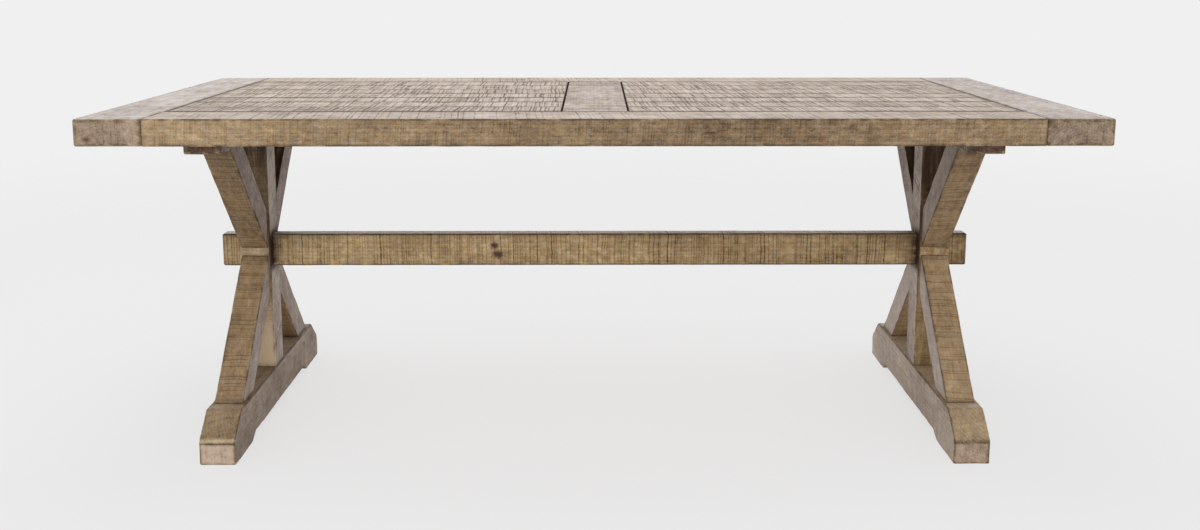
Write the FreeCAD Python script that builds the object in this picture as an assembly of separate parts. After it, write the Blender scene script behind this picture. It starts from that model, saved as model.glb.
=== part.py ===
"""Trestle table: a framed plank top on two braced trestles that one long stretcher joins.

Millimetres. +X runs along the table, +Y away from the front edge and +Z up.
The origin is on the floor, under the middle of the top.
"""
import FreeCAD, Part
import math
import os

# The whole table
table_length = 2134.0
table_width = 1016.0
table_height = 787.0
top_thickness = 57.0

# The top: two end boards and two rails make a frame, a crosspiece halves it, planks fill it
frame_board_width = 140.0
crosspiece_width = 140.0
expansion_slot = 4.5
plank_thickness = 28.0
plank_width_shares = (0.132, 0.140, 0.141, 0.136, 0.152, 0.1495, 0.1495)
tongue_length = 12.0
tongue_thickness = 9.0
tongue_side_clearance = 0.25
tongue_end_clearance = 1.5
rail_tenon_length = 45.0
rail_tenon_thickness = 19.0
rail_tenon_shoulder = 25.0
rail_tenon_clearance = 1.5

# Battens under the planks, tenoned into the rails
centre_bearer_lap = 30.0
field_batten_width = 70.0
trestle_bearer_width = 100.0
batten_tenon_length = 14.0
batten_tenon_thickness = 12.0
batten_tenon_shoulder = 15.0
batten_tenon_clearance = 1.0

# The trestles
trestle_inset = 228.0
beam_width = 81.0
cleat_thickness = 32.0
cleat_lap = 35.0
post_size = 77.0
foot_length = 806.0
foot_height = 108.0
foot_nose_height = 50.0
foot_bevel_rise = 12.0
foot_bevel_run = 6.0
foot_slope_run = 61.0
foot_pad_length = 133.0
foot_relief_height = 16.0
foot_relief_run = 34.0
post_tenon_size = 45.0
cleat_tenon_length = 29.0
foot_tenon_length = 70.0
foot_tenon_clearance = 2.0

# The braces: four to a trestle, mitred between the post and the cleat or foot
brace_size = 66.0
brace_toe_on_foot = 34.0
brace_toe_on_cleat = 95.0
brace_tip_gap = 17.0

# The stretcher passes through both posts
stretcher_height = 80.0
stretcher_thickness = 35.0
stretcher_overhang = 48.0
stretcher_clearance = 0.5

# Soft edges
board_edge_radius = 1.0
beam_edge_radius = 2.5
cleat_edge_radius = 2.0

# Wood screws: head radius, head height, shank radius and length
plank_screw_head_radius = 4.5
plank_screw_head_height = 3.0
plank_screw_radius = 2.25
plank_screw_length = 45.0
brace_screw_head_radius = 5.5
brace_screw_head_height = 3.5
brace_screw_radius = 2.75
brace_screw_bite = 42.0
foot_screw_bore_radius = 7.0
foot_screw_bore_depth = 42.0
stretcher_screw_bite = 14.0
stretcher_screw_inset = 15.0
screw_point_length = 6.0
plank_screw_offset = 30.0
crosspiece_screw_margin = 90.0
crosspiece_screw_spread = 44.0
brace_screw_place_share = 0.75

# Bolts that hold the top on the cleats
bolt_radius = 4.0
bolt_head_radius = 6.5
bolt_head_height = 5.0
bolt_recess_radius = 10.0
bolt_recess_depth = 8.0
bolt_bite = 17.0
bolt_place_share = 0.31
washer_radius = 9.0
washer_thickness = 1.6
insert_radius = 6.0
insert_length = 20.0
running_clearance = 0.1

# Dowels through the post into the braces on both sides of it
dowel_radius = 6.0
dowel_spread = 30.0
dowel_bite = 30.0
dowel_end_clearance = 1.0

# Levels and places that follow from the sizes above
half_length = table_length / 2
half_width = table_width / 2
top_underside = table_height - top_thickness
plank_underside = table_height - plank_thickness
field_end = half_length - frame_board_width
field_side = half_width - frame_board_width
crosspiece_side = crosspiece_width / 2
field_start = crosspiece_side + expansion_slot
trestle_centre = half_length - trestle_inset
cleat_underside = top_underside - cleat_thickness
cleat_end = field_side + cleat_lap
foot_end = foot_length / 2
post_side = post_size / 2
middle_height = (foot_height + cleat_underside) / 2
stretcher_low = middle_height - stretcher_height / 2
stretcher_high = middle_height + stretcher_height / 2
stretcher_end = trestle_centre + post_side + stretcher_overhang
cleat_toe = cleat_end - brace_toe_on_cleat
foot_toe = foot_end - foot_slope_run - brace_toe_on_foot
SIDES = {"left": -1, "right": 1}
FACES = {"front": -1, "back": 1}
MATCH = 0.01 * board_edge_radius


def vec(x, y, z):
    """A point."""
    return FreeCAD.Vector(x, y, z)


def block(low, high):
    """A plain block between two opposite corners, given in any order."""
    corner = [min(a, b) for a, b in zip(low, high)]
    size = [abs(b - a) for a, b in zip(low, high)]
    return Part.makeBox(size[0], size[1], size[2], vec(*corner))


def eased_block(low, high, radius):
    """A block with every edge rounded."""
    solid = block(low, high)
    return solid.makeFillet(radius, solid.Edges)


def prism(outline, x_low, x_high):
    """A closed outline of (y, z) points carried along X."""
    points = [vec(x_low, y, z) for y, z in outline]
    face = Part.Face(Part.makePolygon(points + points[:1]))
    return face.extrude(vec(x_high - x_low, 0, 0))


def ease_long_edges(solid, radius, length):
    """Rounds the straight edges of a prism that run between its two flat sides' corners."""
    chosen = [edge for edge in solid.Edges if edge.Length > length]
    return solid.makeFillet(radius, chosen)


def rod(start, end, radius):
    """A round bar from one point to another."""
    way = end - start
    return Part.makeCylinder(radius, way.Length, start, way)


def wood_screw(head_at, way, length, head_radius, head_height, radius):
    """A countersunk screw: a cone head, a straight shank and a point. head_at is the head's face."""
    way = FreeCAD.Vector(way).normalize()
    under_head = head_at + way * head_height
    point_starts = head_at + way * (length - screw_point_length)
    head = Part.makeCone(head_radius, radius, head_height, head_at, way)
    shank = rod(under_head, point_starts, radius)
    point = Part.makeCone(radius, 0, screw_point_length, point_starts, way)
    return head.fuse([shank, point]).removeSplitter()


def one_solid(shape):
    """The single solid that a cut or a fuse leaves."""
    if len(shape.Solids) != 1:
        raise ValueError("expected one solid, found %d" % len(shape.Solids))
    return shape.Solids[0]


def plank_edges():
    """Where the planks' long edges lie across the field, front to back."""
    places = [-field_side]
    for share in plank_width_shares:
        places.append(places[-1] + share * 2 * field_side / sum(plank_width_shares))
    return places


def plank_centres():
    """The middle of each plank across the field."""
    edges = plank_edges()
    return [(a + b) / 2 for a, b in zip(edges, edges[1:])]


def field_middle():
    """How far the field battens' middle lies from the table's middle."""
    return (field_start + centre_bearer_lap + trestle_centre - trestle_bearer_width / 2) / 2


def batten_places():
    """Each batten under the planks: its name, its middle along X and its width."""
    places = {"centre_bearer": (0, 2 * (field_start + centre_bearer_lap))}
    for side, sign in SIDES.items():
        places[side + "_field_batten"] = (sign * field_middle(), field_batten_width)
        places[side + "_trestle_bearer"] = (sign * trestle_centre, trestle_bearer_width)
    return places


def plank_screw_spots():
    """Where the screws go up through the battens: (x, y) of each head."""
    spots = []
    inner = field_start + centre_bearer_lap / 2
    for sign in SIDES.values():
        for y in plank_centres():
            spots.append((sign * inner, y))
            spots.append((sign * field_middle(), y))
            spots.append((sign * (trestle_centre - plank_screw_offset), y))
    for x in (-crosspiece_screw_spread, crosspiece_screw_spread):
        for y in (-field_side + crosspiece_screw_margin, field_side - crosspiece_screw_margin):
            spots.append((x, y))
    return spots


def plank_screw(spot):
    """One screw, its head flush with the batten's underside."""
    head_at = vec(spot[0], spot[1], top_underside)
    return wood_screw(head_at, vec(0, 0, 1), plank_screw_length, plank_screw_head_radius,
                      plank_screw_head_height, plank_screw_radius)


def near(shapes, solid):
    """Those of the shapes whose boxes meet the solid's box."""
    return [shape for shape in shapes if shape.BoundBox.intersect(solid.BoundBox)]


def bolt_spots():
    """Where the bolts rise through the cleats: two into the bearer and two into the rails."""
    inner = bolt_place_share * cleat_end
    outer = field_side + cleat_lap / 2
    return [(sign * trestle_centre, y) for sign in SIDES.values() for y in (-outer, -inner, inner, outer)]


def bolt_clearance_cuts():
    """The recess and hole of each bolt in the cleat, and the insert's hole above it."""
    cuts = []
    for x, y in bolt_spots():
        recess_top = cleat_underside + bolt_recess_depth
        cuts.append(rod(vec(x, y, cleat_underside - bolt_recess_depth), vec(x, y, recess_top), bolt_recess_radius))
        cuts.append(rod(vec(x, y, recess_top), vec(x, y, top_underside), bolt_radius + running_clearance))
        cuts.append(rod(vec(x, y, top_underside), vec(x, y, top_underside + insert_length), insert_radius))
    return cuts


def top_bolt(spot):
    """A bolt with a round head, in its recess under the cleat."""
    x, y = spot
    head_top = cleat_underside + bolt_recess_depth - washer_thickness
    head = rod(vec(x, y, head_top - bolt_head_height), vec(x, y, head_top), bolt_head_radius)
    shank = rod(vec(x, y, head_top), vec(x, y, top_underside + bolt_bite), bolt_radius)
    return one_solid(head.fuse(shank).removeSplitter())


def bolt_washer(spot):
    """The washer between a bolt's head and the top of its recess."""
    x, y = spot
    high = cleat_underside + bolt_recess_depth
    disc = rod(vec(x, y, high - washer_thickness), vec(x, y, high), washer_radius)
    hole = rod(vec(x, y, high - washer_thickness), vec(x, y, high), bolt_radius + running_clearance)
    return one_solid(disc.cut(hole))


def threaded_insert(spot):
    """The sleeve in the top's underside that takes a bolt."""
    x, y = spot
    low = vec(x, y, top_underside)
    high = vec(x, y, top_underside + insert_length)
    return one_solid(rod(low, high, insert_radius).cut(rod(low, high, bolt_radius + running_clearance)))


def end_board(sign):
    """A board across the table's end, grooved for the planks and mortised for the rails."""
    solid = eased_block((sign * field_end, -half_width, top_underside),
                        (sign * half_length, half_width, table_height), board_edge_radius)
    middle = (table_height + plank_underside) / 2
    half_groove = tongue_thickness / 2 + tongue_side_clearance
    groove = block((sign * (field_end - tongue_length), -field_side, middle - half_groove),
                   (sign * (field_end + tongue_length + tongue_end_clearance), field_side, middle + half_groove))
    cuts = [groove]
    for face in FACES.values():
        cuts.append(rail_tenon(sign, face, rail_tenon_clearance))
    return one_solid(solid.cut(cuts))


def rail_tenon(sign, face, clearance):
    """The tenon on a rail's end, or with a clearance at its tip the mortise that takes it."""
    middle = top_underside + top_thickness / 2
    return block((sign * field_end, face * (field_side + rail_tenon_shoulder), middle - rail_tenon_thickness / 2),
                 (sign * (field_end + rail_tenon_length + clearance), face * (half_width - rail_tenon_shoulder),
                  middle + rail_tenon_thickness / 2))


def batten_tenon(place, width, face, clearance):
    """The tenon on a batten's end, or with a clearance at its tip the mortise that takes it."""
    middle = (top_underside + plank_underside) / 2
    half = width / 2 - batten_tenon_shoulder
    return block((place - half, face * field_side, middle - batten_tenon_thickness / 2),
                 (place + half, face * (field_side + batten_tenon_length + clearance),
                  middle + batten_tenon_thickness / 2))


def rail(face, bolt_cuts):
    """A long board along the table's front or back, tenoned into both end boards."""
    solid = eased_block((-field_end, face * field_side, top_underside),
                        (field_end, face * half_width, table_height), board_edge_radius)
    solid = solid.fuse([rail_tenon(sign, face, 0) for sign in SIDES.values()])
    mortises = [batten_tenon(place, width, face, batten_tenon_clearance)
                for place, width in batten_places().values()]
    return one_solid(solid.cut(mortises + near(bolt_cuts, solid)))


def crosspiece(screws):
    """The board across the middle of the top, between the rails."""
    solid = eased_block((-crosspiece_side, -field_side, plank_underside),
                        (crosspiece_side, field_side, table_height), board_edge_radius)
    return one_solid(solid.cut(near(screws, solid)))


def plank(sign, y_low, y_high, screws):
    """A plank of the field, with a tongue on its outer end."""
    solid = eased_block((sign * field_start, y_low, plank_underside),
                        (sign * field_end, y_high, table_height), board_edge_radius)
    middle = (table_height + plank_underside) / 2
    tongue = block((sign * (field_end - tongue_length), y_low + board_edge_radius, middle - tongue_thickness / 2),
                   (sign * (field_end + tongue_length), y_high - board_edge_radius, middle + tongue_thickness / 2))
    solid = solid.fuse(tongue).removeSplitter()
    return one_solid(solid.cut(near(screws, solid)))


def batten(place, width, cuts):
    """A batten or bearer between the rails, under the planks."""
    solid = block((place - width / 2, -field_side, top_underside), (place + width / 2, field_side, plank_underside))
    solid = solid.fuse([batten_tenon(place, width, face, 0) for face in FACES.values()])
    return one_solid(solid.cut(near(cuts, solid)))


def brace_run(upper):
    """How far a brace's toe lies from the table's middle, and how far it rises or falls to its tip."""
    toe = cleat_toe if upper else foot_toe
    rise = middle_height - foot_height - brace_tip_gap / 2
    return toe, rise


def brace_outline(upper, face):
    """A brace from the side: its toe and heel on the cleat or foot, its tip and back on the post."""
    toe, rise = brace_run(upper)
    lean = math.atan2(rise, toe - post_side)
    along_seat = brace_size / math.sin(lean)
    along_post = brace_size / math.cos(lean)
    seat = cleat_underside if upper else foot_height
    up = 1 if upper else -1
    tip = middle_height + up * brace_tip_gap / 2
    return [(face * toe, seat), (face * post_side, tip), (face * post_side, tip + up * along_post),
            (face * (toe - along_seat), seat)]


def brace_screw(sign, face, upper):
    """The screw that holds a brace's seat: down through the cleat, or up through the foot."""
    outline = brace_outline(upper, face)
    toe, heel = outline[0][0], outline[3][0]
    y = toe + (heel - toe) * brace_screw_place_share
    if upper:
        head_at = vec(sign * trestle_centre, y, top_underside)
        way = vec(0, 0, -1)
        depth = cleat_thickness
    else:
        head_at = vec(sign * trestle_centre, y, foot_screw_bore_depth)
        way = vec(0, 0, 1)
        depth = foot_height - foot_screw_bore_depth
    return wood_screw(head_at, way, depth + brace_screw_bite, brace_screw_head_radius,
                      brace_screw_head_height, brace_screw_radius)


def brace_dowel_heights():
    """The height of the dowels: the middle of each brace's end on the post."""
    heights = []
    for upper in (True, False):
        outline = brace_outline(upper, 1)
        heights.append((outline[1][1] + outline[2][1]) / 2)
    return heights


def brace_dowel(x, z, reach):
    """A dowel through a post, reaching into the braces in front of it and behind it."""
    return rod(vec(x, -post_side - reach, z), vec(x, post_side + reach, z), dowel_radius)


def dowel_spots(sign):
    """The (x, z) of the dowels in one trestle."""
    return [(sign * trestle_centre + shift * dowel_spread / 2, z)
            for shift in (-1, 1) for z in brace_dowel_heights()]


def brace(sign, face, upper):
    """One brace, bored for its dowels and its screw."""
    x_low = sign * trestle_centre - brace_size / 2
    solid = prism(brace_outline(upper, face), x_low, x_low + brace_size)
    solid = ease_long_edges(solid, beam_edge_radius, 2 * brace_size)
    dowels = [brace_dowel(x, z, dowel_bite + dowel_end_clearance) for x, z in dowel_spots(sign)]
    return one_solid(solid.cut(near(dowels + [brace_screw(sign, face, upper)], solid)))


def stretcher_screw(sign, face):
    """A screw through the post's wall into the stretcher, under the end of a brace."""
    up = 1 if face < 0 else -1
    z = middle_height + up * (stretcher_height / 2 - stretcher_screw_inset)
    wall = post_side - stretcher_thickness / 2
    head_at = vec(sign * trestle_centre, face * post_side, z)
    return wood_screw(head_at, vec(0, -face, 0), wall + stretcher_screw_bite, plank_screw_head_radius,
                      plank_screw_head_height, plank_screw_radius)


def post(sign, screws):
    """A trestle's upright, tenoned into the cleat and the foot, with the stretcher's mortise."""
    x = sign * trestle_centre
    solid = eased_block((x - post_side, -post_side, foot_height), (x + post_side, post_side, cleat_underside),
                        beam_edge_radius)
    solid = solid.fuse([post_tenon(x, True, 0), post_tenon(x, False, 0)]).removeSplitter()
    half = stretcher_thickness / 2 + stretcher_clearance
    mortise = block((x - post_size, -half, stretcher_low), (x + post_size, half, stretcher_high + stretcher_clearance))
    dowels = [brace_dowel(dowel_x, z, dowel_bite) for dowel_x, z in dowel_spots(sign)]
    return one_solid(solid.cut([mortise] + dowels + near(screws, solid)))


def post_tenon(x, upper, clearance):
    """The tenon on a post's end, or with a clearance at its tip the mortise that takes it."""
    half = post_tenon_size / 2
    if upper:
        z_low, z_high = cleat_underside, cleat_underside + cleat_tenon_length + clearance
    else:
        z_low, z_high = foot_height - foot_tenon_length - clearance, foot_height
    return block((x - half, -half, z_low), (x + half, half, z_high))


def cleat(sign, cuts):
    """The beam that carries the top, across the head of a trestle."""
    x = sign * trestle_centre
    solid = eased_block((x - beam_width / 2, -cleat_end, cleat_underside), (x + beam_width / 2, cleat_end, top_underside),
                        cleat_edge_radius)
    mortise = post_tenon(x, True, cleat_thickness - cleat_tenon_length)
    return one_solid(solid.cut([mortise] + near(cuts, solid)))


def foot_outline():
    """A foot from the side: two pads on the floor, a shallow arch between them and sloped noses."""
    pad_ends = foot_end - foot_pad_length
    front = [(-foot_end, 0), (-foot_end, foot_nose_height),
             (-foot_end + foot_bevel_run, foot_nose_height + foot_bevel_rise),
             (-foot_end + foot_slope_run, foot_height)]
    back = [(-y, z) for y, z in reversed(front)]
    arch = [(pad_ends, 0), (pad_ends - foot_relief_run, foot_relief_height),
            (-pad_ends + foot_relief_run, foot_relief_height), (-pad_ends, 0)]
    return front + back + arch


def foot(sign, screws):
    """A trestle's foot, with the post's mortise and the bores of the brace screws."""
    x = sign * trestle_centre
    solid = prism(foot_outline(), x - beam_width / 2, x + beam_width / 2)
    solid = solid.makeFillet(beam_edge_radius, solid.Edges)
    cuts = [post_tenon(x, False, foot_tenon_clearance)]
    for screw in screws:
        box = screw.BoundBox
        low = vec(box.Center.x, box.Center.y, -foot_relief_height)
        cuts.append(rod(low, vec(box.Center.x, box.Center.y, foot_screw_bore_depth), foot_screw_bore_radius))
        cuts.append(screw)
    return one_solid(solid.cut(near(cuts, solid)))


def stretcher(screws):
    """The long board that joins the trestles and stands out past both posts."""
    solid = eased_block((-stretcher_end, -stretcher_thickness / 2, stretcher_low),
                        (stretcher_end, stretcher_thickness / 2, stretcher_high), beam_edge_radius)
    return one_solid(solid.cut(near(screws, solid)))


def build():
    """Every piece, by the name of its node."""
    plank_screws = [plank_screw(spot) for spot in plank_screw_spots()]
    bolt_cuts = bolt_clearance_cuts()
    both = [(sign, face) for sign in SIDES.values() for face in FACES.values()]
    cleat_screws = [brace_screw(sign, face, True) for sign, face in both]
    foot_screws = [brace_screw(sign, face, False) for sign, face in both]
    stretcher_screws = [stretcher_screw(sign, face) for sign, face in both]
    parts = {}
    for face, sign in FACES.items():
        parts[face + "_rail"] = rail(sign, bolt_cuts)
    parts["centre_crosspiece"] = crosspiece(plank_screws)
    for name, (place, width) in batten_places().items():
        parts[name] = batten(place, width, plank_screws + bolt_cuts)
    edges = plank_edges()
    for side, sign in SIDES.items():
        parts[side + "_end_board"] = end_board(sign)
        for number, (low, high) in enumerate(zip(edges, edges[1:]), 1):
            parts["%s_plank_%d" % (side, number)] = plank(sign, low, high, plank_screws)
        parts[side + "_cleat"] = cleat(sign, bolt_cuts + cleat_screws)
        parts[side + "_post"] = post(sign, stretcher_screws)
        parts[side + "_foot"] = foot(sign, foot_screws)
        for face, way in FACES.items():
            parts["%s_%s_upper_brace" % (side, face)] = brace(sign, way, True)
            parts["%s_%s_lower_brace" % (side, face)] = brace(sign, way, False)
    parts["stretcher"] = stretcher(stretcher_screws)
    dowels = [brace_dowel(x, z, dowel_bite) for sign in SIDES.values() for x, z in dowel_spots(sign)]
    spots = bolt_spots()
    groups = {"plank_screws": plank_screws, "cleat_screws": cleat_screws, "foot_screws": foot_screws,
              "stretcher_screws": stretcher_screws, "brace_dowels": dowels,
              "top_bolts": [top_bolt(spot) for spot in spots],
              "bolt_washers": [bolt_washer(spot) for spot in spots],
              "threaded_inserts": [threaded_insert(spot) for spot in spots]}
    for name, solids in groups.items():
        parts[name] = Part.makeCompound([one_solid(solid) for solid in solids])
    return parts


def main():
    """Writes one STEP file for each node."""
    os.makedirs("parts", exist_ok=True)
    for name, shape in sorted(build().items()):
        shape.exportStep(os.path.join("parts", name + ".step"))
        print(name, len(shape.Solids), round(shape.Volume))


main()
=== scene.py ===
"""The looks of a trestle table in rough-sawn, stained pine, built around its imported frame.

Metres, in the frame's own axes: +X along the table, +Y away from the viewer, +Z up, floor at zero.
Every board is one closed surface: a rounded section carried along the board's length.
"""

import logging
import math
import zlib
from dataclasses import dataclass, replace
from enum import Enum
from typing import Any, Dict, List, Sequence, Tuple, Union

import bpy
import numpy as np
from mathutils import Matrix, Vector


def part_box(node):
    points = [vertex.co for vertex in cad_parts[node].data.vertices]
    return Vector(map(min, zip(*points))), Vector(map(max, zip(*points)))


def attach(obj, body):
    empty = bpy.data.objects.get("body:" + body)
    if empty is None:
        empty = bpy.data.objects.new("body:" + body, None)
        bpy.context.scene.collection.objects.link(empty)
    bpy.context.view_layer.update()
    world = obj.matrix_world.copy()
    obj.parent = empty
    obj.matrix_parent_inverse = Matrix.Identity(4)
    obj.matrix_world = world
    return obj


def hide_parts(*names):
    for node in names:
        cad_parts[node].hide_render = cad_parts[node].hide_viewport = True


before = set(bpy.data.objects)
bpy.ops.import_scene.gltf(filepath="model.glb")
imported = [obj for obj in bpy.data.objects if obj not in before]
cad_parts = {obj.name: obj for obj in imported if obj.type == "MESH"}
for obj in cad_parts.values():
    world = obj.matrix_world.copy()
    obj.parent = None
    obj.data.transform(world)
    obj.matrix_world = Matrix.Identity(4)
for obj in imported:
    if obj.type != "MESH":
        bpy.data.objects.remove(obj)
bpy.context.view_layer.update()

Array = np.ndarray
Point = Tuple[float, float, float]
Pair = Tuple[float, float]
Tree = bpy.types.NodeTree
Socket = bpy.types.NodeSocket
LOG = logging.getLogger("trestle_table")

MM = 0.001
# The reach of a patch along an axis on which it has no end
FAR = 1e6
BODY = "root"
PLANKS_TO_A_FIELD = 7
# The part along an axis of a surface's outward direction, one at most: the least at which the surface
# looks that way, and where it starts to count as a top or as a side, and counts in full
SQUARE_ON = 0.9
UPWARD_FROM, UPWARD_FULL = 0.80, 0.98
SIDEWAYS_FROM, SIDEWAYS_FULL = 0.60, 0.95
# The Mix node's numbered sockets: its factor, its two numbers, and its two colours with their result
MIX_FACTOR, MIX_LOW, MIX_HIGH, MIX_A, MIX_B, MIX_RESULT = 0, 2, 3, 6, 7, 2
# The signs of p and q at a board's four arrises, in the order in which a section goes round them
ARRISES = ((1, 1), (-1, 1), (-1, -1), (1, -1))


class Way(Enum):
    """Which way a board runs. The value is its along, across and up directions."""

    ALONG_X = ((1.0, 0.0, 0.0), (0.0, 1.0, 0.0), (0.0, 0.0, 1.0))
    ALONG_Y = ((0.0, 1.0, 0.0), (-1.0, 0.0, 0.0), (0.0, 0.0, 1.0))
    UPRIGHT = ((0.0, 0.0, 1.0), (1.0, 0.0, 0.0), (0.0, 1.0, 0.0))


class Side(Enum):
    """A side of the table. The value is the side's axis and its direction along that axis."""

    LEFT = (0, -1)
    RIGHT = (0, 1)
    FRONT = (1, -1)
    BACK = (1, 1)

    @property
    def word(self) -> str:
        """The side's name, as the nodes have it."""
        return self.name.lower()

    def outer(self, low: Array, high: Array) -> float:
        """Where the face of a box that looks out to this side stands on the side's axis."""
        axis, way = self.value
        return high[axis] if way > 0 else low[axis]

    def inner(self, low: Array, high: Array) -> float:
        """Where the face of a box that looks away from this side stands on the side's axis."""
        return self.outer(high, low)


class Level(Enum):
    """Which of a trestle's braces: those above the stretcher or those below it."""

    UPPER = 1
    LOWER = -1


ENDS = (Side.LEFT, Side.RIGHT)
FACES = (Side.FRONT, Side.BACK)


def srgb(code: str) -> Tuple[float, float, float, float]:
    """Turns an sRGB hex colour into the linear colour that shaders take.

    Args:
        code: the colour as six hex digits.

    Returns:
        Red, green, blue and an alpha of one, linear.
    """
    parts = [int(code[i:i + 2], 16) / 255 for i in (0, 2, 4)]
    linear = [p / 12.92 if p <= 0.04045 else ((p + 0.055) / 1.055) ** 2.4 for p in parts]
    return (linear[0], linear[1], linear[2], 1.0)


def seeded(name: str) -> np.random.Generator:
    """Random numbers that depend on a piece's name alone, so every run is alike."""
    return np.random.default_rng(zlib.crc32(name.encode()))


def ripple(rng: np.random.Generator, shortest: Sequence[float], longest: Sequence[float],
           *axes: Array) -> Array:
    """Smooth random waviness, mostly between -1 and 1.

    Formula: the sum of twelve sines of 2 pi (k . p) + phase, over 1.6 times the root of six. Each k
    has one part per axis, one over a wave length drawn between that axis's shortest and longest.

    Args:
        rng: where the wave lengths, signs and phases come from.
        shortest: the shortest wave along each axis, in metres.
        longest: the longest wave along each axis, in metres.
        axes: the coordinates, arrays that broadcast together.

    Returns:
        One height for each point.
    """
    waves, spread = 12, 1.6
    total: Union[float, Array] = 0.0
    for _ in range(waves):
        angle: Union[float, Array] = rng.uniform(0, 2 * math.pi)
        for low, high, axis in zip(shortest, longest, axes):
            length = math.exp(rng.uniform(math.log(low), math.log(high)))
            angle = angle + rng.choice((-1.0, 1.0)) * 2 * math.pi * axis / length
        total = total + np.sin(angle)
    return total / math.sqrt(waves / 2) / spread


def corners(node: str) -> Tuple[Array, Array]:
    """A CAD node's lowest and highest corners, as arrays."""
    low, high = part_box(node)
    return np.array(low[:]), np.array(high[:])


def link(name: str, data: bpy.types.ID) -> bpy.types.Object:
    """Puts a mesh, a lamp or a camera in the scene.

    Args:
        name: the object's name.
        data: what the object shows.

    Returns:
        The object, at the origin.
    """
    thing = bpy.data.objects.new(name, data)
    bpy.context.scene.collection.objects.link(thing)
    return thing


@dataclass(frozen=True)
class Patch:
    """A place on a board, how far it reaches along x, y and z, and how strong it is.

    A board's stains are patches where dark stain has gathered or where shade is painted dark, and its
    shades are patches that are lighter or darker than the rest, some of them painted shade or a
    painted highlight. Hardness is how sharply a patch ends at its reach.
    """

    place: Point
    reach: Point
    strength: float = 1.0
    hardness: float = 1.0

    @classmethod
    def across(cls, axis: int, place: float, reach: float, strength: float) -> "Patch":
        """A patch along a whole plane of the frame.

        Args:
            axis: the axis that the plane stands square to: 0, 1 or 2.
            place: where it stands on that axis.
            reach: how far the patch spreads on either side.
            strength: how strong it is on the plane.

        Returns:
            The patch.
        """
        reaches = [FAR, FAR, FAR]
        reaches[axis] = reach
        return cls(tuple(place if i == axis else 0.0 for i in range(3)), tuple(reaches), strength)

    def at(self, points: Array) -> Array:
        """How strong the patch is at each point."""
        # Strength times e to the minus d to the power of hardness, with d the distance in reaches
        distance = np.linalg.norm((points - self.place) / self.reach, axis=1)
        return self.strength * np.exp(-distance ** self.hardness)


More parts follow.
